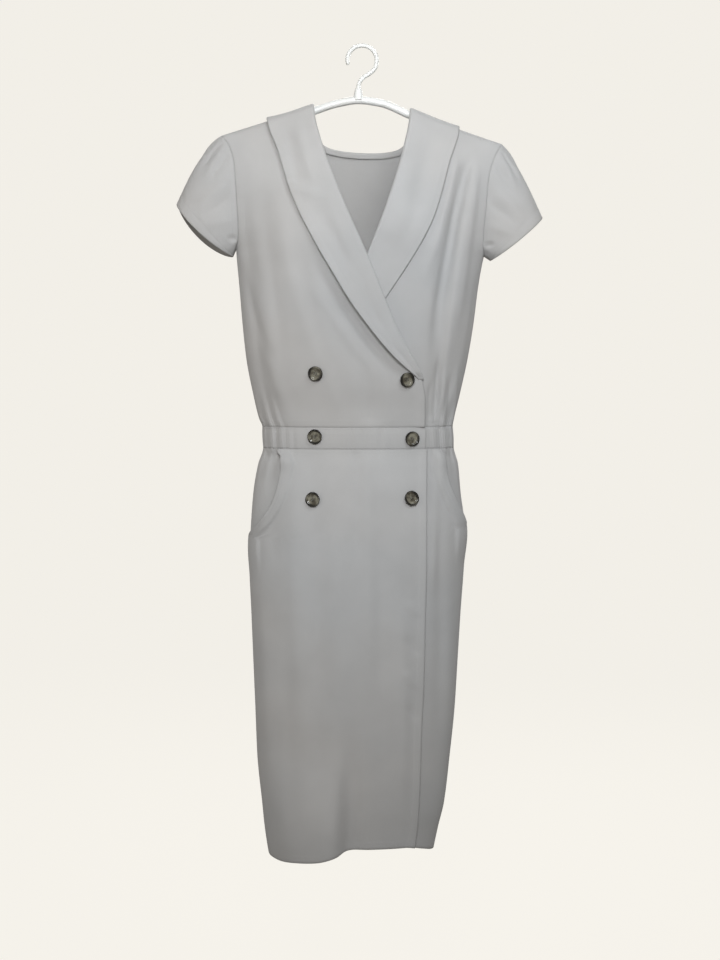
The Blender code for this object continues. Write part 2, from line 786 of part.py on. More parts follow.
def back_bodice(name, material):
    """The back of the bodice, with its scooped neck."""
    drops = np.array(BODICE_DROPS)
    aside = {}
    sides = ((-1, armhole_left, SHOULDER_POINT_LEFT), (1, armhole_right, SHOULDER_POINT_RIGHT))
    for side, edge, point_x in sides:
        top_z = float(shoulder_height(point_x))
        underarm = top_z - float(bodice_drop(UNDERARM_DROP, top_z - BODICE_END))
        seam_z = top_z - bodice_drop(drops, top_z - BODICE_END)
        aside[side] = eased_turn(edge, seam_z) - seam_turn(edge, seam_z, underarm)

    def turn_of(share, z):
        start = math.pi - eased_turn(armhole_right, z)
        end = math.pi + eased_turn(armhole_left, z)
        return start + (end - start) * share

    def x_of(share, z):
        middle, half = ring_middle(z)
        return middle + half * np.sin(turn_of(share, z))

    def share_at(x, z):
        low, high = 0.0, 1.0
        for _ in range(50):
            guess = 0.5 * (low + high)
            if float(x_of(guess, z)) > x:
                low = guess
            else:
                high = guess
        return guess

    neck_half, neck_drop = BACK_NECK[0]
    seam_left = float(shoulder_height(-neck_half))
    seam_right = float(shoulder_height(neck_half))
    neck = [(half, drop) for half, drop in BACK_NECK] + [(-half, drop) for half, drop in BACK_NECK[-2::-1]]
    neck_x = np.array([x for x, _ in neck])
    blend = (neck_x + neck_half) / (2.0 * neck_half)
    neck_z = seam_left + (seam_right - seam_left) * blend - np.array([drop for _, drop in neck])
    neck_shares = [share_at(x, z) for x, z in zip(neck_x, neck_z)]
    beside = (BACK_COLUMNS - len(neck) + 1) // 2
    tops = []
    for number in range(beside):
        share = neck_shares[0] * number / beside
        z = -100.0
        for _ in range(40):
            z = 0.5 * (z + float(shoulder_height(x_of(share, z))))
        tops.append((share, z))
    tops.extend(zip(neck_shares, neck_z))
    for number in range(1, beside + 1):
        share = neck_shares[-1] + (1.0 - neck_shares[-1]) * number / beside
        z = -100.0
        for _ in range(40):
            z = 0.5 * (z + float(shoulder_height(x_of(share, z))))
        tops.append((share, z))
    turns = np.empty((len(drops), BACK_COLUMNS + 1))
    heights = np.empty_like(turns)
    settle = smooth_step(0.0, UNDERARM_DROP - 12.0, drops)
    for j, (share, top_z) in enumerate(tops):
        own = top_z - bodice_drop(drops, top_z - BODICE_END)
        heights[:, j] = own
        across = share + (even_share(j, BACK_COLUMNS) - share) * settle
        aside_here = aside[1] * (1.0 - across) ** ARMHOLE_FADE - aside[-1] * across ** ARMHOLE_FADE
        turns[:, j] = turn_of(across, own) + aside_here
    outer, inner = walls(turns, heights, np.zeros_like(turns), CLOTH, 0.5 * SEAM_GAP)
    add_shell(name, outer, inner, material)
    count = len(DROPS_ABOVE_UNDERARM)
    edges = {
        1: (outer[:count, 0], inner[:count, 0]),
        -1: (outer[:count, -1], inner[:count, -1]),
    }
    return edges, neck_x, neck_z


def unit(vectors):
    """Vectors of length one."""
    return vectors / np.maximum(np.linalg.norm(vectors, axis=-1, keepdims=True), 1e-12)


def binding(name, edge_x, edge_z, material):
    """A narrow binding folded over the back neck edge."""
    along = unit(np.stack([np.gradient(edge_x), np.gradient(edge_z)], axis=-1))
    into_x = -along[:, 1]
    into_z = along[:, 0]
    drop = shoulder_height(edge_x) - edge_z
    under = smooth_step(*BINDING_UNDER, drop)
    leg = smooth_step(*BINDING_LEG, drop)
    near = SEAM_GAP
    far = SEAM_GAP + BINDING_CLOTH
    none = np.zeros_like(leg)
    low = -0.4 * CLOTH - (0.6 * CLOTH + BINDING_GAP) * under
    low_far = -CLOTH - (BINDING_GAP + BINDING_CLOTH) * under
    leg_end = -near - 0.1 + (BINDING_WIDTH + near + 0.1) * leg
    section = (
        (BINDING_WIDTH + none, BINDING_GAP + none),
        (0.5 * BINDING_WIDTH + none, BINDING_GAP + none),
        (-near + none, BINDING_GAP + none),
        (-near + none, low),
        (leg_end, low),
        (leg_end, low_far),
        (-near - 0.5 * BINDING_CLOTH + none, low_far),
        (-far + none, 0.5 * low_far),
        (-far + none, 0.4 * near + none),
        (-near - 0.5 * BINDING_CLOTH + none, BINDING_GAP + BINDING_CLOTH + none),
        (0.5 * BINDING_WIDTH + none, BINDING_GAP + BINDING_CLOTH + none),
        (BINDING_WIDTH + none, BINDING_GAP + BINDING_CLOTH + none),
    )
    loops = []
    for reach, height in section:
        x = edge_x + into_x * reach
        z = np.minimum(edge_z + into_z * reach, shoulder_height(x) - 1e-4)
        z[[0, -1]] = shoulder_height(x[[0, -1]]) - 1e-4
        point, normal = cloth_point(math.pi - turn_at(x, z), z)
        loops.append(point + normal * height[:, None] + np.array([0.0, 0.5 * SEAM_GAP, 0.0]))
    return add_tube(name, np.stack(loops, axis=1), material)


def add_tube(name, grid, material):
    """A solid swept through closed sections; rows are sections, with flat ends."""
    rows, columns = grid.shape[:2]
    faces = []
    for i in range(rows - 1):
        for j in range(columns):
            k = (j + 1) % columns
            faces.append((i * columns + j, i * columns + k, (i + 1) * columns + k, (i + 1) * columns + j))
    faces.append(tuple(reversed(range(columns))))
    faces.append(tuple((rows - 1) * columns + j for j in range(columns)))
    item = add_mesh(name, grid.reshape(-1, 3), faces, material)
    finish = bmesh.new()
    finish.from_mesh(item.data)
    caps = [face for face in finish.faces if len(face.verts) > 4]
    bmesh.ops.triangulate(finish, faces=caps, ngon_method="EAR_CLIP")
    finish.to_mesh(item.data)
    finish.free()
    return item


def lapel_path(width, lift, stand):
    """Middle line of a lapel's section: distance from the roll line, height."""
    flat = 0.5 * LAPEL_CLOTH + LAPEL_GAP
    short = min(1.0, width / 26.0)
    d = np.array([-2.1, -2.6, -1.6, 1.6 * short, 0.22 * width + 0.6, 0.48 * width, 0.74 * width, width])
    d[2:] = np.maximum.accumulate(d[2:])
    o = np.array([
        -0.7,
        0.5 + 0.4 * lift,
        flat + 0.75 * lift - 0.2,
        flat + lift,
        flat + 0.85 * lift,
        flat + 0.45 * lift,
        flat + 0.15 * lift + 0.35 * stand,
        flat + stand,
    ])
    return d, o


def lapel(name, side, material):
    """A shawl lapel from the shoulder seam down to its break point."""
    left = side < 0
    roll = roll_right_front if left else roll_left_front
    edge = lapel_edge_right if left else lapel_edge_left
    start = float(shoulder_height(roll(-86.0)))
    outers = []
    inners = []
    half = 0.5 * LAPEL_CLOTH
    cover_start, cover_end = LAPEL_COVERED
    for drop in LAPEL_DROPS:
        base_z = start - drop * (start - LAPEL_TIP) / LAPEL_LENGTH
        roll_x = float(roll(base_z))
        share = (1.0 - drop / LAPEL_LENGTH) ** 2
        edge_x = float(edge(base_z))
        for _ in range(LAPEL_SETTLING):
            fall = float(shoulder_height(edge_x) - shoulder_height(roll_x)) * share
            edge_x = float(edge(base_z + fall))
        width = max(abs(edge_x - roll_x), LAPEL_NARROWEST)
        shown = 1.0 if left else float(1.0 - smooth_step(-cover_start, -cover_end, -base_z))
        lift = LAPEL_PUFF * shown * min(1.0, width / 30.0) * float(smooth_step(-8.0, LAPEL_SEWN_DROP, drop))
        low_part = float(smooth_step(215.0, 345.0, -base_z)) * min(1.0, width / 25.0)
        if left:
            stand = (LAPEL_EDGE_LIFT + LAPEL_STAND * low_part) * min(1.0, width / 20.0)
        else:
            stand = LAPEL_LEFT_EDGE_LIFT * shown
        d, o = lapel_path(width, lift, stand)
        tangent = unit(np.stack([np.gradient(d), np.gradient(o)], axis=-1))
        normal = np.stack([-tangent[:, 1], tangent[:, 0]], axis=-1)
        for sign, keep in ((1.0, outers), (-1.0, inners)):
            dd = d + sign * half * normal[:, 0]
            oo = o + sign * half * normal[:, 1]
            x = roll_x + side * dd
            z = base_z + (shoulder_height(x) - shoulder_height(roll_x)) * share
            z = np.minimum(z, shoulder_height(x) - 1e-4)
            point, out = cloth_point(turn_at(x, z), z, folded=False)
            offset = right_front_offset(x, z) if left else 0.0 * x
            point = point + np.array([0.0, -0.5 * SEAM_GAP, 0.0])
            keep.append(point + out * (offset + oo)[:, None])
    return add_shell(name, np.array(outers), np.array(inners), material)


def sleeve(name, side, front_edge, back_edge, sizes, material):
    """A set-in sleeve from the armhole seam to its hem."""
    (top_x, top_z), (low_x, low_z), half_depth, front_hang, back_hang, crown = sizes
    outer = np.concatenate([front_edge[0], back_edge[0][::-1][1:-1]])
    inner = np.concatenate([front_edge[1], back_edge[1][::-1][1:-1]])
    count = len(front_edge[0])
    for k in (0, count - 1):
        outer[k, 1] = 0.0
        inner[k, 1] = 0.0
    total = len(outer)
    normal = unit(outer - inner)
    along = unit(np.roll(outer, -1, axis=0) - np.roll(outer, 1, axis=0))
    outward = unit(np.cross(along, normal))
    if outward[0, 0] * side < 0.0:
        outward = -outward
    start_outer = outer + ARMHOLE_GAP * outward
    start_inner = inner + ARMHOLE_GAP * outward
    high = outer[:, 2].max()
    low = outer[:, 2].min()
    part = np.clip((high - outer[:, 2]) / (high - low), 0.0, 1.0)
    psi = np.arccos(1.0 - 2.0 * part)
    face = np.where(np.arange(total) < count, -1.0, 1.0)
    across = 0.5 - 0.5 * np.cos(psi)
    chord = np.array([low_x - top_x, 0.0, low_z - top_z])
    down = unit(np.array([side * abs(chord[2]), 0.0, -abs(chord[0])]))
    hang = np.where(face < 0.0, front_hang, back_hang) * np.sin(psi) ** SLEEVE_HANG_POWER
    hem = np.array([top_x, 0.0, top_z]) + across[:, None] * chord + hang[:, None] * down
    hem[:, 1] = face * half_depth * np.sin(psi) ** 0.9
    up = unit(np.array([side * SLEEVE_HEAD_WAY[0], 0.0, SLEEVE_HEAD_WAY[1]]))
    head = np.clip(np.cos(psi), 0.0, 1.0) ** 1.5
    rows_outer = []
    for t in SLEEVE_STATIONS:
        row = start_outer * (1.0 - t) + hem * t
        row = row + up * (crown * math.sin(math.pi * t ** 0.8) * head)[:, None]
        row[:, 1] += face * SLEEVE_FULLNESS * math.sin(math.pi * t) * np.sin(psi)
        gather = SLEEVE_GATHER_DEPTH * math.sin(math.pi * min(t / SLEEVE_GATHER_REACH, 1.0))
        row = row + up * (gather * head * np.cos(2.0 * SLEEVE_GATHERS * psi * face))[:, None]
        rows_outer.append(row)
    grid = np.array(rows_outer)
    round_way = np.roll(grid, -1, axis=1) - np.roll(grid, 1, axis=1)
    long_way = np.gradient(grid, axis=0)
    out = unit(np.cross(round_way, long_way))
    centre = grid.mean(axis=1, keepdims=True)
    if float(((grid - centre) * out).sum(axis=-1).mean()) < 0.0:
        out = -out
    inner_grid = grid - CLOTH * out
    inner_grid[0] = start_inner
    return add_shell(name, grid, inner_grid, material, closed_round=True)


def band(name, side, material):
    """One piece of the elastic casing at the waist."""
    z = np.array([BAND_TOP, 0.5 * (BAND_TOP + BAND_END), BAND_END])[:, None]
    if side == 0:
        turn = back_turns()
        outer, inner = walls(turn, z, 0.0 * (turn + z), CLOTH, 0.5 * SEAM_GAP)
        return add_shell(name, outer, inner, material)
    fraction = np.concatenate([np.linspace(0.0, 0.42, 11), np.linspace(0.42, 1.0, 7)[1:]])[None, :]
    end_x = skirt_edge(z) - 1.6 if side < 0 else FRONT_EDGE_HIDDEN + 0.0 * z
    turn = side * 0.5 * math.pi * (1.0 - fraction) + turn_at(end_x, z) * fraction
    middle, half = ring_middle(z)
    x = middle + half * np.sin(turn)
    offset = right_front_offset(x, z) if side < 0 else 0.0 * x
    outer, inner = walls(turn, z + 0.0 * turn, offset, CLOTH, -0.5 * SEAM_GAP)
    return add_shell(name, outer, inner, material)


def front_skirt(name, side, material):
    """One front of the skirt, with its slanted pocket edge."""
    left = side < 0
    edge = pocket_edge_left if left else pocket_edge_right
    pocket_end = POCKET_END_LEFT if left else POCKET_END_RIGHT
    drops = np.array(FRONT_SKIRT_DROPS)
    base = SKIRT_TOP - drops

    def side_turn(z):
        return np.where(z > pocket_end, turn_at(edge(z), z), side * 0.5 * math.pi)

    beside = [("own", number / SIDE_COLUMNS) for number in range(SIDE_COLUMNS)]
    lapped = [("station", station) for station in OVERLAP_STATIONS] + [("edge", 0.0)]
    columns = beside + lapped if left else lapped + beside[::-1]
    turns = np.empty((len(drops), len(columns)))
    heights = np.empty_like(turns)
    for j, (kind, value) in enumerate(columns):
        z = base.copy()
        for _ in range(HEM_SETTLING):
            if kind == "station":
                turn = turn_at(value, z)
            elif kind == "edge":
                turn = turn_at(skirt_edge(z), z)
            else:
                near = turn_at(OVERLAP_STATIONS[0], z) if left else turn_at(skirt_edge(z), z)
                turn = side_turn(base) * (1.0 - value) + near * value
            middle, half = ring_middle(z)
            x_end = float((middle + half * np.sin(turn))[-1])
            hem = float(hem_front(x_end))
            z = SKIRT_TOP - drops - (base[-1] - hem) * (drops / drops[-1]) ** 2
        turns[:, j] = turn
        heights[:, j] = z
    middle, half = ring_middle(heights)
    x = middle + half * np.sin(turns)
    lift = pocket_lift(x, heights, edge, pocket_end)
    offset = np.maximum(right_front_offset(x, heights), lift) if left else lift
    outer, inner = walls(turns, heights, offset, CLOTH, -0.5 * SEAM_GAP)
    return add_shell(name, outer, inner, material)


def back_skirt(name, material):
    """The back of the skirt."""
    turn = back_turns()
    drops = np.array(BACK_SKIRT_DROPS)
    hem = HEM_BACK + (HEM_BACK_SIDE - HEM_BACK) * np.sin(turn) ** 4
    z = SKIRT_TOP - drops[:, None] * (SKIRT_TOP - hem) / drops[-1]
    outer, inner = walls(turn + 0.0 * z, z, 0.0 * z, CLOTH, 0.5 * SEAM_GAP)
    return add_shell(name, outer, inner, material)


def pocket_side(name, side, material):
    """The cloth between the slanted pocket edge and the side seam."""
    left = side < 0
    edge = pocket_edge_left if left else pocket_edge_right
    pocket_end = POCKET_END_LEFT if left else POCKET_END_RIGHT
    z = np.linspace(SKIRT_TOP, pocket_end + POCKET_SHORT, 11)[:, None]
    inner_x = edge(z) - side * POCKET_UNDER
    fraction = np.linspace(0.0, 1.0, 7)[None, :]
    turn = side * 0.5 * math.pi * (1.0 - fraction) + turn_at(inner_x, z) * fraction
    outer, inner = walls(turn, z + 0.0 * turn, 0.0 * turn, CLOTH, -0.5 * SEAM_GAP)
    return add_shell(name, outer, inner, material)


def button(name, x, z, material):
    """A four-hole button with a rolled rim, lying on the upper front."""
    turn = turn_at(x, z)
    point, normal = cloth_point(turn, z)
    offset = float(right_front_offset(np.array(x), np.array(z))) + BUTTON_LIFT
    seat = point + normal * offset + np.array([0.0, -0.5 * SEAM_GAP, 0.0])
    side = unit(np.cross(np.array([0.0, 0.0, 1.0]), normal))
    up = np.cross(normal, side)
    shape = bmesh.new()
    chain = [shape.verts.new((radius, 0.0, height)) for radius, height in BUTTON_PROFILE]
    edges = [shape.edges.new((a, b)) for a, b in zip(chain[:-1], chain[1:])]
    bmesh.ops.spin(shape, geom=chain + edges, cent=(0.0, 0.0, 0.0), axis=(0.0, 0.0, 1.0),
                   angle=2.0 * math.pi, steps=BUTTON_SEGMENTS, use_merge=True)
    bmesh.ops.remove_doubles(shape, verts=shape.verts[:], dist=0.0001)
    bmesh.ops.recalc_face_normals(shape, faces=shape.faces[:])
    mesh = bpy.data.meshes.new(name)
    shape.to_mesh(mesh)
    shape.free()
    item = bpy.data.objects.new(name, mesh)
    parts_collection.objects.link(item)
    mesh.materials.append(material)
    cutter_shape = bmesh.new()
    for a, b in ((1, 1), (1, -1), (-1, 1), (-1, -1)):
        made = bmesh.ops.create_cone(cutter_shape, cap_ends=True, segments=HOLE_SEGMENTS,
                                     radius1=HOLE_RADIUS, radius2=HOLE_RADIUS, depth=HOLE_DEPTH)
        bmesh.ops.translate(cutter_shape, verts=made["verts"], vec=(a * HOLE_REACH, b * HOLE_REACH, 1.0))
    cutter_mesh = bpy.data.meshes.new(name + "_holes")
    cutter_shape.to_mesh(cutter_mesh)
    cutter_shape.free()
    cutter = bpy.data.objects.new(name + "_holes", cutter_mesh)
    cutters_collection.objects.link(cutter)
    cutter.hide_render = True
    cutter.display_type = "WIRE"
    cut = item.modifiers.new("holes", "BOOLEAN")
    cut.operation = "DIFFERENCE"
    cut.solver = "EXACT"
    cut.object = cutter
    placed = np.eye(4)
    placed[:3, 0] = side * MILLIMETRE
    placed[:3, 1] = up * MILLIMETRE
    placed[:3, 2] = normal * MILLIMETRE
    placed[:3, 3] = seat * MILLIMETRE
    for thing in (item, cutter):
        for vertex in thing.data.vertices:
            place = placed @ np.array([*vertex.co, 1.0])
            vertex.co = place[:3]
        thing.data.update()
    return item


def curve_tube(name, points, radius, resolution, radii):
    """A round rod along points, with filled ends, as a mesh."""
    data = bpy.data.curves.new(name, "CURVE")
    data.dimensions = "3D"
    data.bevel_depth = radius * MILLIMETRE
    data.bevel_resolution = resolution
    data.use_fill_caps = True
    spline = data.splines.new("POLY")
    spline.points.add(len(points) - 1)
    for i, (x, y, z) in enumerate(points):
        spline.points[i].co = (x * MILLIMETRE, y * MILLIMETRE, z * MILLIMETRE, 1.0)
        spline.points[i].radius = radii[i]
    rod = bpy.data.objects.new(name + "_curve", data)
    parts_collection.objects.link(rod)
    bpy.context.view_layer.update()
    mesh = bpy.data.meshes.new_from_object(rod.evaluated_get(bpy.context.evaluated_depsgraph_get()))
    bpy.data.objects.remove(rod)
    return bpy.data.objects.new(name, mesh)


def hanger(name, material):
    """A plain one-piece plastic hanger: arched bar, boss and hook."""
    stations = [(BAR_END_LEFT - out, share) for out, share in BAR_TIPS[::-1]]
    stations += [(x, 1.0) for x in BAR_STATIONS]
    stations += [(BAR_END_RIGHT + out, share) for out, share in BAR_TIPS]
    path = [(x, 0.0, float(bar_height(x))) for x, _ in stations]
    bar = curve_tube(name, path, BAR_RADIUS, BAR_SEGMENTS, [share for _, share in stations])
    parts_collection.objects.link(bar)
    points = [(x, 0.0, z) for x, z in HOOK_STEM]
    for degrees in HOOK_TURNS:
        angle = math.radians(degrees)
        points.append((HOOK_BEND * math.cos(angle), 0.0, HOOK_TURN_HEIGHT + HOOK_BEND * math.sin(angle)))
    hook_radii = [1.0] * (len(points) - 1) + [HOOK_TIP]
    hook = curve_tube(name + "_hook", points, HOOK_RADIUS, 1, hook_radii)
    cutters_collection.objects.link(hook)
    boss_shape = bmesh.new()
    bmesh.ops.create_cone(boss_shape, cap_ends=True, segments=BOSS_SEGMENTS,
                          radius1=BOSS_LOW_RADIUS * MILLIMETRE, radius2=BOSS_HIGH_RADIUS * MILLIMETRE,
                          depth=BOSS_HEIGHT * MILLIMETRE)
    bmesh.ops.translate(boss_shape, verts=boss_shape.verts[:],
                        vec=(HOOK_X * MILLIMETRE, 0.0, BOSS_MIDDLE * MILLIMETRE))
    boss_mesh = bpy.data.meshes.new(name + "_boss")
    boss_shape.to_mesh(boss_mesh)
    boss_shape.free()
    boss = bpy.data.objects.new(name + "_boss", boss_mesh)
    cutters_collection.objects.link(boss)
    for tool in (boss, hook):
        tool.hide_render = True
        tool.display_type = "WIRE"
        join = bar.modifiers.new(tool.name, "BOOLEAN")
        join.operation = "UNION"
        join.solver = "EXACT"
        join.object = tool
    bar.data.materials.clear()
    bar.data.materials.append(material)
    return bar


for existing in list(bpy.data.objects):
    bpy.data.objects.remove(existing)

parts_collection = bpy.data.collections.new("blazer_dress")
bpy.context.scene.collection.children.link(parts_collection)
cutters_collection = bpy.data.collections.new("cutters")
bpy.context.scene.collection.children.link(cutters_collection)

hanger("hanger", shade("white_plastic", WHITE, 0.35))

back_edges, neck_x, neck_z = back_bodice("bodice_back", cloth_finish("cloth_bodice_back"))
right_edge = front_bodice("bodice_front_right", -1, cloth_finish("cloth_bodice_right"))
left_edge = front_bodice("bodice_front_left", 1, cloth_finish("cloth_bodice_left"))
binding("back_neck_binding", neck_x, neck_z, cloth_finish("cloth_binding"))
lapel("lapel_right", -1, cloth_finish("cloth_lapel_right"))
lapel("lapel_left", 1, cloth_finish("cloth_lapel_left"))
sleeve("sleeve_right", -1, right_edge, back_edges[-1], SLEEVE_RIGHT, cloth_finish("cloth_sleeve_right"))
sleeve("sleeve_left", 1, left_edge, back_edges[1], SLEEVE_LEFT, cloth_finish("cloth_sleeve_left"))
band("waistband_back", 0, cloth_finish("cloth_band_back"))
band("waistband_front_right", -1, cloth_finish("cloth_band_right"))
band("waistband_front_left", 1, cloth_finish("cloth_band_left"))
back_skirt("skirt_back", cloth_finish("cloth_skirt_back"))
front_skirt("skirt_front_right", -1, cloth_finish("cloth_skirt_right"))
front_skirt("skirt_front_left", 1, cloth_finish("cloth_skirt_left"))
pocket_side("pocket_side_right", -1, cloth_finish("cloth_pocket_right"))
pocket_side("pocket_side_left", 1, cloth_finish("cloth_pocket_left"))
for button_name, button_x, button_z in BUTTONS:
    button(button_name, button_x, button_z, shade(button_name + "_horn", DARK_HORN, 0.3))
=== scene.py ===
"""The looks of a short-sleeved wrap blazer dress on its hanger.

Sizes are in millimetres and become metres when a mesh is made. The front of the dress faces
-Y, up is +Z, and the origin is the inner top of the hanger's hook. Right and left in the names
of pieces are the wearer's, so the right front, which laps over the left one, is on the -X side.
"""

import logging
import math
from dataclasses import dataclass, field
from enum import Enum

import bmesh
import bpy
import numpy as np
from mathutils import Matrix, Vector

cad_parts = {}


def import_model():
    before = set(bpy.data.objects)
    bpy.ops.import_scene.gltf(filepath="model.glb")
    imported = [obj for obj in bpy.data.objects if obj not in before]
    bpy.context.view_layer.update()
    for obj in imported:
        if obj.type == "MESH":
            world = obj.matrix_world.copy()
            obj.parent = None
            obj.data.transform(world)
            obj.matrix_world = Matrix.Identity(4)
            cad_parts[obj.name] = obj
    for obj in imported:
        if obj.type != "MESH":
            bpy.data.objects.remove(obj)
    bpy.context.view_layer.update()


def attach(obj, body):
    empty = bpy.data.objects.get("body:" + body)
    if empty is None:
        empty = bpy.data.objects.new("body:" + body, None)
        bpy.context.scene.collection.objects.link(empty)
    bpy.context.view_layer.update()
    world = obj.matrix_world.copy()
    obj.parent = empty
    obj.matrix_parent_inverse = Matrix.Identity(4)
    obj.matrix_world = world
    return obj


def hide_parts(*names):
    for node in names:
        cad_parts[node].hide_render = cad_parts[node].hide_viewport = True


MILLIMETRE = 0.001
QUARTER_TURN = 0.5 * math.pi
BODY = "root"

Table = tuple[tuple[float, ...], ...]
Colour = tuple[float, float, float]

log = logging.getLogger("blazer_dress")


class Side(Enum):
    """Side of the dress that a piece belongs to, by the wearer's own right and left."""

    RIGHT = -1
    BACK = 0
    LEFT = 1


class Held(Enum):
    """How a sheet of cloth is held."""

    HUNG = "hung"
    GATHERED = "gathered"
    STRETCHED = "stretched"
    FOLDED = "folded"


def smooth_step(start: float, end: float, value: np.ndarray) -> np.ndarray:
    """0 before start, 1 after end and an even rise between them.

    Args:
        start: Value at which the rise begins.
        end: Value at which it ends.
        value: Where to read it.

    Returns:
        The rise, from 0 to 1.
    """
    part = np.clip((np.asarray(value, float) - start) / (end - start), 0.0, 1.0)
    return part * part * (3.0 - 2.0 * part)


def unit(vectors: np.ndarray) -> np.ndarray:
    """Vectors of length one."""
    return vectors / np.maximum(np.linalg.norm(vectors, axis=-1, keepdims=True), 1e-12)


class SmoothLine:
    """A smooth line through the rows of a table, without overshoot."""

    def __init__(self, table: Table, place: int = 0, value: int = 1) -> None:
        """Reads the table.

        Args:
            table: Rows of named columns.
            place: Column that holds the place along the line.
            value: Column that holds the value there.
        """
        rows = sorted(table, key=lambda row: row[place])
        self.at = np.array([row[place] for row in rows], float)
        self.values = np.array([row[value] for row in rows], float)
        self.width = np.diff(self.at)
        slope = np.diff(self.values) / self.width
        self.tangent = np.empty_like(self.values)
        self.tangent[0] = slope[0]
        self.tangent[-1] = slope[-1]
        same_way = slope[:-1] * slope[1:] > 0.0
        total = np.where(same_way, slope[:-1] + slope[1:], 1.0)
        self.tangent[1:-1] = np.where(same_way, 2.0 * slope[:-1] * slope[1:] / total, 0.0)

    def __call__(self, query: np.ndarray) -> np.ndarray:
        """Value of the line at each place of the query."""
        query = np.clip(np.asarray(query, float), self.at[0], self.at[-1])
        index = np.clip(np.searchsorted(self.at, query, side="right") - 1, 0, len(self.at) - 2)
        part = (query - self.at[index]) / self.width[index]
        square = part * part
        cube = square * part
        return (
            (2.0 * cube - 3.0 * square + 1.0) * self.values[index]
            + (cube - 2.0 * square + part) * self.width[index] * self.tangent[index]
            + (3.0 * square - 2.0 * cube) * self.values[index + 1]
            + (cube - square) * self.width[index] * self.tangent[index + 1]
        )


@dataclass(frozen=True)
class Fold:
    """A large fold of a front, along a curve from its top to its low end.

    Its depth is outward when positive, and is strongest half way along.
    """

    top_x: float
    top_z: float
    middle_x: float
    low_x: float
    low_z: float
    depth: float
    half_width: float

    def line(self, z: np.ndarray) -> tuple[np.ndarray, np.ndarray]:
        """The x of the fold's line at a height, and how far along the fold that is."""
        part = np.clip((z - self.top_z) / (self.low_z - self.top_z), 0.0, 1.0)
        rest = 1.0 - part
        x = self.top_x * rest ** 2 + 2.0 * self.middle_x * part * rest + self.low_x * part ** 2
        return x, part

    def rise(self, x: np.ndarray, z: np.ndarray) -> np.ndarray:
        """Outward depth of the fold at each place."""
        curve, part = self.line(z)
        strength = np.sqrt(np.clip(4.0 * part * (1.0 - part), 0.0, 1.0))
        return self.depth * strength * np.exp(-(((x - curve) / self.half_width) ** 2))


@dataclass(frozen=True)
class Crease(Fold):
    """A soft, shallow crease laid over the main folds, on the front or on the back.

    top_fade and low_fade are the shares of its length over which its two ends fade out.
    """

    back: bool = False
    top_fade: float = 0.35
    low_fade: float = 0.35

    def rise(self, x: np.ndarray, z: np.ndarray) -> np.ndarray:
        """Outward depth of the crease at each place."""
        along = (z - self.top_z) / (self.low_z - self.top_z)
        curve, _ = self.line(z)
        strength = smooth_step(0.0, max(self.top_fade, 1e-3), along)
        strength = strength * smooth_step(0.0, max(self.low_fade, 1e-3), 1.0 - along)
        return self.depth * strength * np.exp(-(((x - curve) / self.half_width) ** 2))


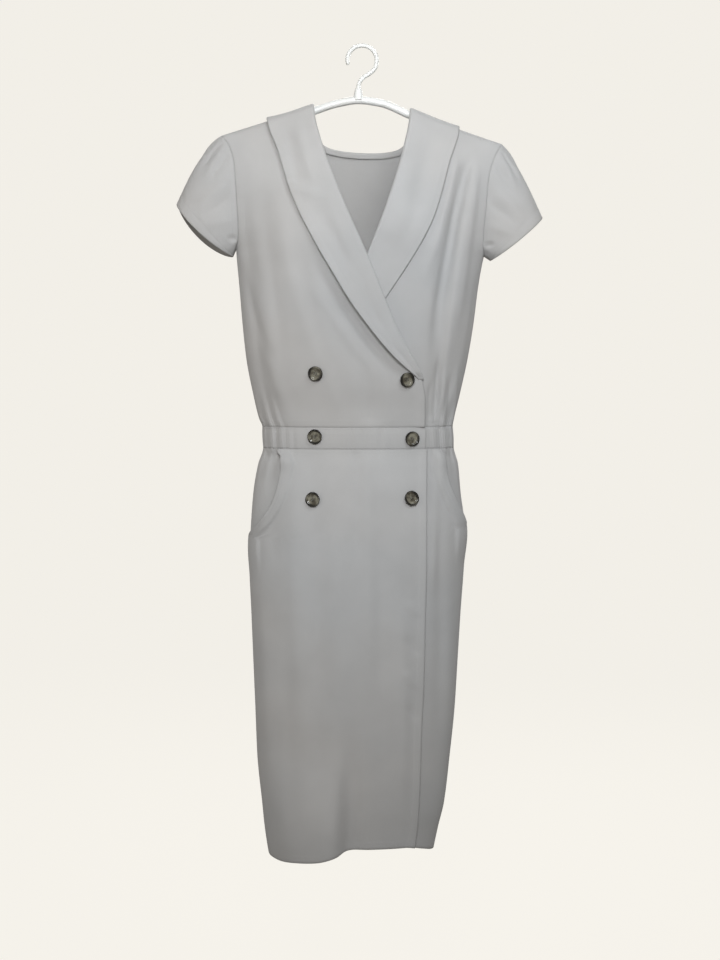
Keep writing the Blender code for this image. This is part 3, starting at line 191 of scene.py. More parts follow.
FRONT_CREASES: tuple[Crease, ...] = (
    # right front, soft diagonals from the shoulder towards the waist
    Crease(-152.0, -140.0, -128.0, -104.0, -430.0, -2.4, 12.0),
    Crease(-126.0, -132.0, -96.0, -44.0, -470.0, 2.2, 15.0),
    Crease(-100.0, -220.0, -72.0, -14.0, -500.0, -2.0, 12.0),
    Crease(-160.0, -262.0, -138.0, -96.0, -505.0, 1.8, 10.0, low_fade=0.15),
    Crease(-163.0, -276.0, -150.0, -112.0, -440.0, -1.8, 8.0),
    Crease(-70.0, -300.0, -45.0, -30.0, -508.0, 1.4, 12.0, low_fade=0.2),
    Crease(-10.0, -380.0, 5.0, 12.0, -510.0, -1.2, 9.0, low_fade=0.1),
    Crease(30.0, -420.0, 34.0, 40.0, -510.0, 1.0, 8.0, low_fade=0.1),
    # the dip beside the right lapel's edge
    Crease(-66.0, -290.0, -10.0, 48.0, -448.0, -4.4, 8.0, top_fade=0.5),
    Crease(-82.0, -300.0, -30.0, 28.0, -456.0, 1.4, 8.0, top_fade=0.5),
    # left front, the deep valley with a ridge at each side, and pleats that run into the waist
    Crease(147.0, -138.0, 108.0, 92.0, -430.0, -3.8, 6.5, top_fade=0.12),
    Crease(127.0, -136.0, 112.0, 78.0, -330.0, 3.2, 8.0, top_fade=0.2),
    Crease(158.0, -146.0, 139.0, 122.0, -420.0, 3.2, 7.0, top_fade=0.2),
    Crease(118.0, -300.0, 104.0, 92.0, -470.0, 1.8, 6.0),
    Crease(160.0, -285.0, 150.0, 132.0, -500.0, -1.5, 6.0),
    Crease(103.0, -410.0, 101.0, 98.0, -514.0, -2.9, 3.6, low_fade=0.06),
    Crease(112.0, -420.0, 109.0, 107.0, -514.0, 2.2, 3.8, low_fade=0.06),
    Crease(121.0, -430.0, 118.0, 116.0, -514.0, -1.8, 3.4, low_fade=0.06),
    Crease(129.0, -420.0, 127.0, 124.0, -514.0, 1.6, 3.4, low_fade=0.06),
    Crease(93.0, -440.0, 91.0, 89.5, -514.0, -1.8, 3.2, low_fade=0.06),
    # waistband, upright puckers of the casing
    Crease(-15.0, -503.0, -15.5, -15.0, -556.0, -0.8, 2.4),
    Crease(-8.0, -506.0, -8.0, -8.0, -552.0, 0.5, 3.0),
    Crease(1.5, -503.0, 1.5, 1.5, -560.0, -0.7, 2.2),
    Crease(25.0, -500.0, 25.0, 24.5, -562.0, -1.0, 2.8),
    Crease(32.0, -506.0, 32.0, 32.0, -552.0, 0.6, 3.2),
    Crease(-92.0, -503.0, -92.0, -91.0, -560.0, -0.8, 3.0),
    # skirt, soft upright shades under the waistband and down the lap
    Crease(-118.0, -541.0, -122.0, -118.0, -720.0, -1.4, 9.0, top_fade=0.05),
    Crease(-92.0, -541.0, -90.0, -84.0, -900.0, 1.8, 12.0, top_fade=0.05),
    Crease(-66.0, -541.0, -58.0, -58.0, -1010.0, -1.6, 13.0, top_fade=0.05),
    Crease(-34.0, -560.0, -30.0, -34.0, -960.0, 1.6, 14.0),
    Crease(-8.0, -541.0, -4.0, -6.0, -700.0, -1.2, 7.0, top_fade=0.05),
    Crease(8.0, -541.0, 8.0, 14.0, -860.0, 1.3, 9.0, top_fade=0.05),
    Crease(26.0, -600.0, 24.0, 26.0, -1040.0, -1.5, 12.0),
    Crease(52.0, -720.0, 58.0, 56.0, -1060.0, 1.6, 9.0),
    Crease(104.0, -541.0, 98.0, 96.0, -760.0, 1.8, 6.0, top_fade=0.05),
    Crease(96.0, -541.0, 112.0, 104.0, -960.0, -1.8, 9.0, top_fade=0.05),
    Crease(118.0, -700.0, 122.0, 112.0, -1040.0, 1.8, 10.0),
    Crease(-138.0, -690.0, -132.0, -124.0, -1040.0, 1.6, 10.0),
    Crease(-104.0, -760.0, -100.0, -96.0, -1080.0, -1.8, 12.0),
    # the shaded trough at the foot of the hem's step, and small puckers beside the front edge
    Crease(-14.0, -900.0, -16.0, -15.0, -1112.0, -6.0, 13.0, top_fade=0.5, low_fade=0.02),
    Crease(62.0, -742.0, 68.0, 76.0, -768.0, 1.0, 7.0),
    Crease(58.0, -790.0, 66.0, 76.0, -822.0, -1.2, 6.0),
    Crease(56.0, -836.0, 64.0, 75.0, -868.0, 1.2, 7.0),
    Crease(60.0, -884.0, 67.0, 74.0, -912.0, -1.0, 6.0),
)
BACK_CREASES: tuple[Crease, ...] = (
    Crease(-140.0, -150.0, -110.0, -70.0, -330.0, 1.8, 14.0, back=True),
    Crease(128.0, -150.0, 104.0, 60.0, -340.0, 1.7, 15.0, back=True),
    Crease(-60.0, -170.0, -50.0, -44.0, -380.0, -1.4, 13.0, back=True),
    Crease(24.0, -180.0, 22.0, 12.0, -390.0, 1.4, 14.0, back=True),
    Crease(-164.0, -268.0, -150.0, -116.0, -470.0, -1.8, 8.0, back=True),
    Crease(158.0, -272.0, 142.0, 108.0, -460.0, -1.7, 8.0, back=True),
)


# edges of the lapels and the right roll line: height, x
LAPEL_EDGE_RIGHT: Table = (
    (-60.0, -128.5), (-98.0, -127.0), (-144.0, -111.1), (-190.0, -96.7), (-225.0, -82.2), (-262.0, -62.5),
    (-308.0, -36.0), (-345.0, -13.4), (-387.0, 17.2), (-418.0, 43.9), (-436.0, 64.0), (-450.0, 80.5),
)
LAPEL_EDGE_LEFT: Table = (
    (-60.0, 131.0), (-110.0, 130.0), (-157.0, 116.3), (-196.0, 105.9), (-229.0, 95.4), (-262.0, 79.6),
    (-299.0, 57.1), (-325.0, 39.8), (-345.0, 26.0), (-387.0, -12.0), (-418.0, -42.0), (-436.0, -63.0),
    (-450.0, -80.5),
)
ROLL_RIGHT: Table = (
    (-60.0, -69.0), (-86.0, -67.5), (-144.0, -52.9), (-183.0, -38.5), (-222.0, -22.6), (-282.0, 3.9),
    (-341.0, 27.8), (-394.0, 50.6), (-427.0, 69.5), (-449.0, 79.5), (-474.0, 83.5), (-512.0, 84.2),
)
ROLL_LEFT: Table = (
    (-60.0, 69.0), (-92.0, 67.3), (-144.0, 56.8), (-209.0, 37.1), (-262.0, 17.2), (-284.0, 7.9),
    (-341.0, -20.0), (-394.0, -48.0), (-427.0, -68.0), (-449.0, -79.5), (-474.0, -83.5), (-512.0, -84.2),
)


@dataclass
class DressForm:
    """The hanging shape of the dress: rings round the body, the bar it hangs on and its folds."""

    cloth: float = 1.0
    seam_gap: float = 0.3
    layer_gap: float = 0.5
    solid_cloth: float = 1.2
    lapel_cloth: float = 2.0
    lapel_gap: float = 0.9
    bar_radius: float = 5.2
    bar_clearance: float = 0.4
    slope_allowance: float = 0.6
    squareness: float = 2.2
    opening_drop: float = 190.0
    opening_power: float = 0.8
    bodice_end: float = -511.0
    band_top: float = -511.3
    band_end: float = -540.3
    skirt_top: float = -540.6
    shoulder_points: tuple[float, float] = (-189.5, 188.5)
    back_folds: int = 6
    back_unevenness: float = 0.02
    back_fold_swell: float = 0.34
    back_fold_limit: float = 13.0
    back_fold_start: float = 250.0
    back_fold_full: float = 410.0
    hem_step_x: float = -27.0
    hem_step_softness: float = 7.0
    hem_step_depth: float = 26.0
    hem_step_start: float = -940.0
    gather_reach: float = 44.0
    gather_wave: float = 14.0
    gather_depth: float = 1.6
    gather_fade: float = 70.0
    fine_gather_wave: float = 6.2
    fine_gather_depth: float = 0.55
    fine_gather_fade: float = 26.0
    # middle line of the hanger's bar: x, z
    bar: Table = (
        (-210.0, -131.0), (-190.0, -124.6), (-127.0, -105.0), (-68.0, -85.5), (-34.0, -74.5), (-5.0, -70.0),
        (24.0, -73.5), (65.0, -90.0), (131.0, -116.0), (188.0, -135.5), (210.0, -142.5),
    )
    # rings: height, left side, right side, front depth, back depth
    rings: Table = (
        (-60.0, -232.0, 232.0, 52.0, 44.0),
        (-120.0, -217.0, 214.0, 55.0, 46.0),
        (-160.0, -205.0, 201.0, 58.0, 48.0),
        (-200.0, -193.0, 189.0, 61.0, 51.0),
        (-240.0, -181.0, 177.0, 64.0, 54.0),
        (-272.0, -171.6, 169.0, 66.0, 56.0),
        (-282.0, -170.9, 165.8, 66.0, 56.0),
        (-322.0, -167.4, 158.6, 67.0, 56.0),
        (-370.0, -163.6, 152.7, 66.0, 54.0),
        (-420.0, -158.4, 144.6, 63.0, 50.0),
        (-469.0, -149.1, 134.0, 58.0, 45.0),
        (-501.0, -141.5, 126.5, 55.0, 42.0),
        (-512.0, -137.0, 124.7, 54.0, 41.0),
        (-540.0, -136.0, 126.2, 54.0, 42.0),
        (-564.0, -143.2, 132.4, 61.0, 50.0),
        (-602.0, -149.8, 136.0, 69.0, 60.0),
        (-661.0, -154.3, 143.0, 76.0, 70.0),
        (-700.0, -155.9, 141.4, 78.0, 72.0),
        (-767.0, -153.5, 136.9, 77.0, 71.0),
        (-834.0, -151.1, 133.1, 75.0, 69.0),
        (-902.0, -148.6, 129.2, 72.0, 66.0),
        (-970.0, -146.2, 122.6, 69.0, 63.0),
        (-1037.0, -139.8, 115.0, 66.0, 60.0),
        (-1072.0, -136.4, 106.8, 64.0, 58.0),
        (-1110.0, -131.0, 99.0, 63.0, 57.0),
    )
    # length of the cloth round the body: height, girth
    girths: Table = (
        (-285.0, 770.0), (-340.0, 768.0), (-400.0, 756.0), (-460.0, 722.0), (-512.0, 686.0),
        (-540.0, 686.0), (-620.0, 790.0), (-700.0, 846.0), (-900.0, 812.0), (-1095.0, 740.0),
    )
    folds: tuple[Fold, ...] = (
        Fold(139.0, -145.0, 103.0, 97.0, -500.0, -7.0, 9.0),
        Fold(154.0, -150.0, 128.0, 112.0, -430.0, 4.0, 8.0),
        Fold(-152.0, -135.0, -128.0, -112.0, -470.0, 2.5, 11.0),
        Fold(-160.0, -200.0, -146.0, -126.0, -508.0, -3.0, 9.0),
    )
    creases: tuple[Crease, ...] = FRONT_CREASES + BACK_CREASES

    def __post_init__(self) -> None:
        """Draws the lines through the tables and finds the depth of the back's folds."""
        self.over_bar = self.bar_radius + self.bar_clearance + self.solid_cloth
        self.folded_over = self.solid_cloth + self.layer_gap
        self.over_lapel = self.lapel_gap + self.lapel_cloth + self.layer_gap + self.solid_cloth
        self.bar_height = SmoothLine(self.bar)
        self.side_left = SmoothLine(self.rings, 0, 1)
        self.side_right = SmoothLine(self.rings, 0, 2)
        self.depth_front = SmoothLine(self.rings, 0, 3)
        self.depth_back = SmoothLine(self.rings, 0, 4)
        self.back_fold_depth = SmoothLine(self.solve_back_folds())

    def shoulder_height(self, x: np.ndarray) -> np.ndarray:
        """Height of the cloth's outer face where it lies over the bar."""
        return self.bar_height(x) + self.over_bar + self.slope_allowance

    def ring_middle(self, z: np.ndarray) -> tuple[np.ndarray, np.ndarray]:
        """Middle and half width of the ring at a height."""
        left = self.side_left(z)
        right = self.side_right(z)
        return 0.5 * (left + right), 0.5 * (right - left)

    def turn_at(self, x: np.ndarray, z: np.ndarray) -> np.ndarray:
        """Turn round the body of the front point with this x, 0 at the middle of the ring."""
        middle, half = self.ring_middle(z)
        return np.arcsin(np.clip((x - middle) / half, -1.0, 1.0))

    def x_at(self, turn: np.ndarray, z: np.ndarray) -> np.ndarray:
        """The x of a point at a turn round the body and a height."""
        middle, half = self.ring_middle(z)
        return middle + half * np.sin(turn)

    def side_gathers(self, x: np.ndarray, z: np.ndarray) -> np.ndarray:
        """Gathers of the fronts beside the side seams, strongest at the elastic."""
        middle, half = self.ring_middle(z)
        reach = half - np.abs(x - middle)
        strength = 1.0 - smooth_step(0.4 * self.gather_reach, self.gather_reach, reach)
        strength = strength * smooth_step(0.0, 6.0, reach)
        strength = strength * (1.0 - smooth_step(0.0, self.gather_fade, self.from_band(z)))
        return self.gather_depth * strength * np.cos(2.0 * math.pi * reach / self.gather_wave)

    def from_band(self, z: np.ndarray) -> np.ndarray:
        """Distance from the waistband, 0 on it."""
        return np.where(z > self.band_top, z - self.band_top, np.where(z < self.band_end, self.band_end - z, 0.0))

    def hem_step(self, x: np.ndarray, z: np.ndarray) -> np.ndarray:
        """The left part of the fronts stands forward towards the hem, with a soft step."""
        growth = smooth_step(-self.hem_step_start, 1090.0, -z)
        reach = 1.0 / (1.0 + np.exp((x - self.hem_step_x) / self.hem_step_softness))
        return self.hem_step_depth * growth * reach

    def back_wave(self, turn: np.ndarray) -> np.ndarray:
        """Uneven wave of the back's folds; it dies out towards the side seams."""
        across = (np.abs(turn) - QUARTER_TURN) / math.pi
        across = np.where(turn < 0.0, 1.0 - across, across)
        uneven = across + self.back_unevenness * np.sin(5.0 * math.pi * across)
        wave = -np.cos(2.0 * math.pi * self.back_folds * uneven)
        size = 1.0 + self.back_fold_swell * np.sin(7.0 * across + 0.8)
        return wave * size * smooth_step(0.1, 0.7, np.abs(np.cos(turn)))

    def body(self, turn: np.ndarray, z: np.ndarray, back_fold: np.ndarray, folded: bool = True) -> np.ndarray:
        """Point of the cloth's outer face.

        Args:
            turn: Turn round the body, 0 at the front and a half turn at the middle of the back.
            z: Height.
            back_fold: Depth of the back's folds.
            folded: Whether the front's folds are put in.

        Returns:
            Points as an array whose last axis holds x, y and z.
        """
        turn, z = np.broadcast_arrays(np.asarray(turn, float), np.asarray(z, float))
        x = self.x_at(turn, z)
        front = np.cos(turn) >= 0.0
        roundness = np.abs(np.cos(turn)) ** (2.0 / self.squareness)
        drop = np.maximum(self.shoulder_height(x) - z, 0.0)
        opening = np.sin(QUARTER_TURN * np.clip(drop / self.opening_drop, 0.0, 1.0)) ** self.opening_power
        over_bar = np.sqrt(np.clip(1.0 - (1.0 - np.minimum(drop / self.over_bar, 1.0)) ** 2, 0.0, 1.0))
        over_bar = self.over_bar * over_bar * (1.0 - smooth_step(10.0, 130.0, drop))
        depth = np.where(front, self.depth_front(z), self.depth_back(z))
        if folded:
            placed = sum(fold.rise(x, z) for fold in self.folds) + self.side_gathers(x, z)
            placed = placed * smooth_step(0.0, 60.0, drop) + self.hem_step(x, z) * roundness
            placed = placed * smooth_step(0.0, 0.3, roundness)
            depth = depth + np.where(front, placed / np.maximum(roundness, 0.2), 0.0)
        out = depth * roundness * opening + over_bar
        out = out + np.where(front, 0.0, back_fold * self.back_wave(turn))
        return np.stack([x, np.where(front, -out, out), z + 0.0 * x], axis=-1)

    def solve_back_folds(self) -> Table:
        """Depth of the back's folds that gives each ring its girth: height, depth."""
        girth = SmoothLine(self.girths)
        turn = np.linspace(-math.pi, math.pi, 721)
        rows = [(-60.0, 0.0), (-240.0, 0.0)]
        for z in np.linspace(-285.0, -1095.0, 28):
            low, high = 0.0, self.back_fold_limit
            for _ in range(24):
                guess = 0.5 * (low + high)
                points = self.body(turn, z, guess)
                if float(np.linalg.norm(np.diff(points, axis=0), axis=1).sum()) < float(girth(z)):
                    low = guess
                else:
                    high = guess
            rows.append((z, guess * float(smooth_step(self.back_fold_start, self.back_fold_full, -z))))
        return tuple(rows)

    def clear_of_lapels(self, x: np.ndarray, z: np.ndarray) -> np.ndarray:
        """1 where a front isn't under a lapel, 0 where it is, and a soft change between them."""
        lapel_left_edge = np.maximum(SmoothLine(LAPEL_EDGE_LEFT)(z), SmoothLine(ROLL_RIGHT)(z) + 5.0)
        reach = np.maximum(SmoothLine(LAPEL_EDGE_RIGHT)(z) - x, x - lapel_left_edge)
        return np.maximum(smooth_step(0.0, 12.0, reach), smooth_step(446.0, 458.0, -z))

    def fine_relief(self, turn: np.ndarray, z: np.ndarray) -> np.ndarray:
        """Shallow creases and fine gathers at the elastic, as an outward depth."""
        x = self.x_at(turn, z)
        back = np.cos(turn) < 0.0
        relief = np.zeros(np.broadcast(x, z).shape)
        for crease in self.creases:
            relief = relief + np.where(back == crease.back, crease.rise(x, z), 0.0)
        middle, half = self.ring_middle(z)
        reach = np.abs(x - middle) / half
        near = 1.0 - smooth_step(0.0, self.fine_gather_fade, self.from_band(z))
        held = np.where(back, 1.0, smooth_step(0.62, 0.9, reach) + 0.22)
        along = turn * 150.0 + 2.2 * np.sin(turn * 9.0) + 0.02 * z
        ripple = np.sin(2.0 * math.pi * along / self.fine_gather_wave)
        relief = relief + self.fine_gather_depth * near * held * ripple
        settle = smooth_step(0.02, 0.3, np.abs(np.cos(turn)))
        settle = settle * np.where(back, 1.0, self.clear_of_lapels(x, z))
        drop = np.maximum(self.shoulder_height(x) - z, 0.0)
        return relief * settle * smooth_step(8.0, 60.0, drop)

    def face(self, turn: np.ndarray, z: np.ndarray, folded: bool = True) -> tuple[np.ndarray, np.ndarray]:
        """Point and outward normal of the cloth's outer face, without its fine relief."""
        turn, z = np.broadcast_arrays(np.asarray(turn, float), np.asarray(z, float))
        small = 1e-5
        slip = 1e-4
        point = self.body(turn, z, self.back_fold_depth(z), folded)
        ahead = self.body(turn + small, z, self.back_fold_depth(z), folded)
        behind = self.body(turn - small, z, self.back_fold_depth(z), folded)
        below = self.body(turn, z - slip, self.back_fold_depth(z - slip), folded)
        return point, unit(np.cross(below - point, ahead - behind))

    def walls(self, turn: np.ndarray, z: np.ndarray, outside: np.ndarray, side: Side,
              thickness: float | None = None) -> tuple[np.ndarray, np.ndarray]:
        """Outer and inner faces of a cloth that lies on the form.

        Args:
            turn: Turns of its points.
            z: Heights of its points.
            outside: How far its outer face lies outside the form.
            side: The back and the fronts are half a seam's gap apart.
            thickness: Thickness of the cloth, or None for the usual one.

        Returns:
            Two grids of points.
        """
        turn, z = np.broadcast_arrays(np.asarray(turn, float), np.asarray(z, float))
        point, normal = self.face(turn, z)
        shift = 0.5 * self.seam_gap if side is Side.BACK else -0.5 * self.seam_gap
        point = point + np.array([0.0, shift, 0.0])
        outside = (np.asarray(outside, float) + self.fine_relief(turn, z))[..., None]
        thick = self.cloth if thickness is None else thickness
        return point + normal * outside, point + normal * (outside - thick)

    def lap(self, x: np.ndarray, z: np.ndarray) -> np.ndarray:
        """How far the right front lies outside the form, over the left one and its lapel."""
        start = self.side_left(z) + 8.0
        across = smooth_step(0.0, 1.0, (x - start) / (-92.0 - start))
        below_neck = smooth_step(110.0, 274.0, -z)
        over_lapel = below_neck * (1.0 - smooth_step(452.0, 490.0, -z))
        return across * (self.folded_over * below_neck + (self.over_lapel - self.folded_over) * over_lapel)


@dataclass(frozen=True)
class CrepeFinish:
    """Smooth dove-grey crepe: fine threads, a pebbled face, a little colour drift and a painted shade line along each
    edge.
    """

    name: str = "dove_crepe"
    cool: Colour = (0.480, 0.490, 0.500)
    warm: Colour = (0.508, 0.499, 0.490)
    thread: float = 0.00042
    pebble: float = 0.0011
    roughness: float = 0.82
    sheen: float = 0.25
    sheen_roughness: float = 0.55

    def material(self) -> bpy.types.Material:
        """Builds the cloth's material.

        Returns:
            A node material that reads the piece's UV map, in metres, and its edge attribute.
        """
        item, nodes, link, shader = new_material(self.name)
        shader.inputs["Sheen Weight"].default_value = self.sheen
        shader.inputs["Sheen Roughness"].default_value = self.sheen_roughness
        shader.inputs["Specular IOR Level"].default_value = 0.28
        way = nodes.new("ShaderNodeUVMap")
        way.uv_map = "cloth_way"
        place = nodes.new("ShaderNodeTexCoord")
        threads = []
        for direction in ("X", "Y"):
            wave = nodes.new("ShaderNodeTexWave")
            wave.wave_type = "BANDS"
            wave.bands_direction = direction
            wave.inputs["Scale"].default_value = 2.0 * math.pi / (20.0 * self.thread)
            wave.inputs["Distortion"].default_value = 1.6
            wave.inputs["Detail"].default_value = 1.0
            wave.inputs["Detail Scale"].default_value = 0.35
            link(way.outputs["UV"], wave.inputs["Vector"])
            threads.append(wave)
        weave = nodes.new("ShaderNodeMath")
        weave.operation = "MULTIPLY"
        link(threads[0].outputs["Fac"], weave.inputs[0])
        link(threads[1].outputs["Fac"], weave.inputs[1])
        pebbles = noise(nodes, link, way.outputs["UV"], 1.0 / self.pebble, 3.0)
        drift = noise(nodes, link, place.outputs["Object"], 3.4, 2.0)
        blotch = noise(nodes, link, place.outputs["Object"], 21.0, 3.0)
        tone = nodes.new("ShaderNodeMix")
        tone.data_type = "RGBA"
        tone.inputs["A"].default_value = (*self.cool, 1.0)
        tone.inputs["B"].default_value = (*self.warm, 1.0)
        link(spread(nodes, link, drift.outputs["Fac"], 0.34, 0.66, 0.0, 1.0), tone.inputs["Factor"])
        mottle = spread(nodes, link, blotch.outputs["Fac"], 0.3, 0.7, 0.965, 1.03)
        thread_tone = spread(nodes, link, weave.outputs["Value"], 0.0, 1.0, 0.93, 1.04)
        pebble_tone = spread(nodes, link, pebbles.outputs["Fac"], 0.3, 0.7, 0.96, 1.03)
        edge = nodes.new("ShaderNodeAttribute")
        edge.attribute_name = "edge"
        # Painted shade: the cloth's colour darkens to 0.86 within 1.8 mm of each edge, a shade line painted along the
        # seams, hems and rounded edges.
        painted_seam_shade = spread(nodes, link, edge.outputs["Fac"], 0.0, 0.0018, 0.86, 1.0)
        shade = times(nodes, link, times(nodes, link, mottle, thread_tone), times(nodes, link, pebble_tone, painted_seam_shade))
        tinted = nodes.new("ShaderNodeMix")
        tinted.data_type = "RGBA"
        tinted.blend_type = "MULTIPLY"
        tinted.inputs["Factor"].default_value = 1.0
        link(tone.outputs["Result"], tinted.inputs["A"])
        link(shade, tinted.inputs["B"])
        link(tinted.outputs["Result"], shader.inputs["Base Color"])
        rough = spread(nodes, link, pebbles.outputs["Fac"], 0.3, 0.7, self.roughness - 0.07, self.roughness + 0.07)
        link(rough, shader.inputs["Roughness"])
        pressed = spread(nodes, link, edge.outputs["Fac"], 0.0085, 0.0115, 0.25, 0.0)
        height = nodes.new("ShaderNodeMath")
        height.operation = "ADD"
        link(weave.outputs["Value"], height.inputs[0])
        link(pebbles.outputs["Fac"], height.inputs[1])
        fine = nodes.new("ShaderNodeBump")
        fine.inputs["Strength"].default_value = 0.22
        fine.inputs["Distance"].default_value = 0.00012
        link(height.outputs["Value"], fine.inputs["Height"])
        seam = nodes.new("ShaderNodeBump")
        seam.inputs["Strength"].default_value = 0.5
        seam.inputs["Distance"].default_value = 0.0009
        link(pressed, seam.inputs["Height"])
        link(fine.outputs["Normal"], seam.inputs["Normal"])
        link(seam.outputs["Normal"], shader.inputs["Normal"])
        return item


@dataclass(frozen=True)
class ThreadFinish:
    """Sewing thread, matched to the cloth or dark at the buttons."""

    name: str
    colour: Colour
    roughness: float = 0.6

    def material(self) -> bpy.types.Material:
        """Builds the thread's material, with its fine twist."""
        item, nodes, link, shader = new_material(self.name)
        place = nodes.new("ShaderNodeTexCoord")
        twist = noise(nodes, link, place.outputs["Object"], 2600.0, 1.0)
        tone = nodes.new("ShaderNodeMix")
        tone.data_type = "RGBA"
        tone.inputs["A"].default_value = (*(0.75 * c for c in self.colour), 1.0)
        tone.inputs["B"].default_value = (*self.colour, 1.0)
        link(twist.outputs["Fac"], tone.inputs["Factor"])
        link(tone.outputs["Result"], shader.inputs["Base Color"])
        link(spread(nodes, link, twist.outputs["Fac"], 0.3, 0.7, self.roughness - 0.1, self.roughness + 0.1),
             shader.inputs["Roughness"])
        return item


@dataclass(frozen=True)
class HornFinish:
    """Dark polished horn, near black at the rim and grey-olive and cloudy in the dish, with the dark rim band painted
    wider at two opposite sides as shade.
    """

    name: str = "dark_horn"
    rim: Colour = (0.012, 0.011, 0.009)
    cloud: Colour = (0.24, 0.23, 0.18)
    streak: Colour = (0.055, 0.047, 0.033)
    roughness: float = 0.2

    def material(self) -> bpy.types.Material:
        """Builds the horn's material, which reads how far out on the button a point lies, raised at two opposite sides
        of the rim for the painted shade there.
        """
        item, nodes, link, shader = new_material(self.name)
        shader.inputs["Coat Weight"].default_value = 0.6
        shader.inputs["Coat Roughness"].default_value = 0.08
        place = nodes.new("ShaderNodeTexCoord")
        out = nodes.new("ShaderNodeAttribute")
        out.attribute_name = "out"
        marble = noise(nodes, link, place.outputs["Object"], 150.0, 4.0)
        grain = noise(nodes, link, place.outputs["Object"], 620.0, 3.0)
        side = noise(nodes, link, place.outputs["Object"], 62.0, 1.0)
        clouded = nodes.new("ShaderNodeMix")
        clouded.data_type = "RGBA"
        clouded.inputs["A"].default_value = (*self.streak, 1.0)
        clouded.inputs["B"].default_value = (*self.cloud, 1.0)
        link(spread(nodes, link, marble.outputs["Fac"], 0.4, 0.6, 0.1, 1.0), clouded.inputs["Factor"])
        # Painted shade: where the out attribute is raised at the button's two sides, the near-black rim colour reaches
        # further in, as shaded crescents on the rim.
        reach = nodes.new("ShaderNodeMath")
        reach.operation = "MULTIPLY_ADD"
        link(side.outputs["Fac"], reach.inputs[0])
        reach.inputs[1].default_value = 0.35
        link(out.outputs["Fac"], reach.inputs[2])
        ringed = nodes.new("ShaderNodeMix")
        ringed.data_type = "RGBA"
        ringed.inputs["B"].default_value = (*self.rim, 1.0)
        link(clouded.outputs["Result"], ringed.inputs["A"])
        link(spread(nodes, link, reach.outputs["Value"], 0.74, 0.92, 0.0, 1.0), ringed.inputs["Factor"])
        link(ringed.outputs["Result"], shader.inputs["Base Color"])
        link(spread(nodes, link, grain.outputs["Fac"], 0.3, 0.7, self.roughness - 0.06, self.roughness + 0.1),
             shader.inputs["Roughness"])
        bump = nodes.new("ShaderNodeBump")
        bump.inputs["Strength"].default_value = 0.12
        bump.inputs["Distance"].default_value = 0.0001
        link(grain.outputs["Fac"], bump.inputs["Height"])
        link(bump.outputs["Normal"], shader.inputs["Normal"])
        return item


@dataclass(frozen=True)
class PlasticFinish:
    """White moulded plastic with a satin face and faint handling marks."""

    name: str = "white_hanger_plastic"
    colour: Colour = (0.83, 0.84, 0.83)
    aged: Colour = (0.76, 0.76, 0.72)
    roughness: float = 0.34

    def material(self) -> bpy.types.Material:
        """Builds the plastic's material."""
        item, nodes, link, shader = new_material(self.name)
        place = nodes.new("ShaderNodeTexCoord")
        age = noise(nodes, link, place.outputs["Object"], 16.0, 3.0)
        grain = noise(nodes, link, place.outputs["Object"], 900.0, 2.0)
        tone = nodes.new("ShaderNodeMix")
        tone.data_type = "RGBA"
        tone.inputs["A"].default_value = (*self.colour, 1.0)
        tone.inputs["B"].default_value = (*self.aged, 1.0)
        link(spread(nodes, link, age.outputs["Fac"], 0.4, 0.75, 0.0, 1.0), tone.inputs["Factor"])
        link(tone.outputs["Result"], shader.inputs["Base Color"])
        link(spread(nodes, link, age.outputs["Fac"], 0.3, 0.7, self.roughness - 0.06, self.roughness + 0.08),
             shader.inputs["Roughness"])
        bump = nodes.new("ShaderNodeBump")
        bump.inputs["Strength"].default_value = 0.08
        bump.inputs["Distance"].default_value = 0.0001
        link(grain.outputs["Fac"], bump.inputs["Height"])
        link(bump.outputs["Normal"], shader.inputs["Normal"])
        return item


@dataclass(frozen=True)
class BackdropFinish:
    """Even pale cream for the floor and the walls."""

    name: str = "pale_backdrop"
    seen: Colour = (0.905, 0.880, 0.823)
    base: Colour = (0.06, 0.058, 0.054)
    share_lit: float = 0.05

    def material(self) -> bpy.types.Material:
        """Builds the backdrop's material."""
        item, _, _, shader = new_material(self.name)
        shader.inputs["Base Color"].default_value = (*self.base, 1.0)
        shader.inputs["Roughness"].default_value = 1.0
        shader.inputs["Specular IOR Level"].default_value = 0.0
        glow = tuple(tone - self.share_lit * 0.6 for tone in self.seen)
        shader.inputs["Emission Color"].default_value = (*glow, 1.0)
        shader.inputs["Emission Strength"].default_value = 1.0
        return item


def new_material(name: str) -> tuple:
    """A material with an empty Principled shader.

    Args:
        name: The material's name.

    Returns:
        The material, its nodes, its link function and its shader node.
    """
    item = bpy.data.materials.new(name)
    item.use_nodes = True
    tree = item.node_tree
    return item, tree.nodes, tree.links.new, tree.nodes["Principled BSDF"]


def noise(nodes: bpy.types.Nodes, link: object, vector: bpy.types.NodeSocket, scale: float,
          detail: float) -> bpy.types.Node:
    """A noise texture.

    Args:
        nodes: The material's nodes.
        link: The material's link function.
        vector: Socket that gives the place.
        scale: Scale of the pattern.
        detail: How many finer layers it has.

    Returns:
        The texture node.
    """
    made = nodes.new("ShaderNodeTexNoise")
    made.inputs["Scale"].default_value = scale
    made.inputs["Detail"].default_value = detail
    link(vector, made.inputs["Vector"])
    return made


def spread(nodes: bpy.types.Nodes, link: object, value: bpy.types.NodeSocket, low: float, high: float,
           to_low: float, to_high: float) -> bpy.types.NodeSocket:
    """Carries a value from one range to another, and holds it there.

    Args:
        nodes: The material's nodes.
        link: The material's link function.
        value: Socket that gives the value.
        low: Value that becomes to_low.
        high: Value that becomes to_high.
        to_low: Result at low.
        to_high: Result at high.

    Returns:
        The socket with the result.
    """
    made = nodes.new("ShaderNodeMapRange")
    made.inputs["From Min"].default_value = low
    made.inputs["From Max"].default_value = high
    made.inputs["To Min"].default_value = to_low
    made.inputs["To Max"].default_value = to_high
    link(value, made.inputs["Value"])
    return made.outputs["Result"]


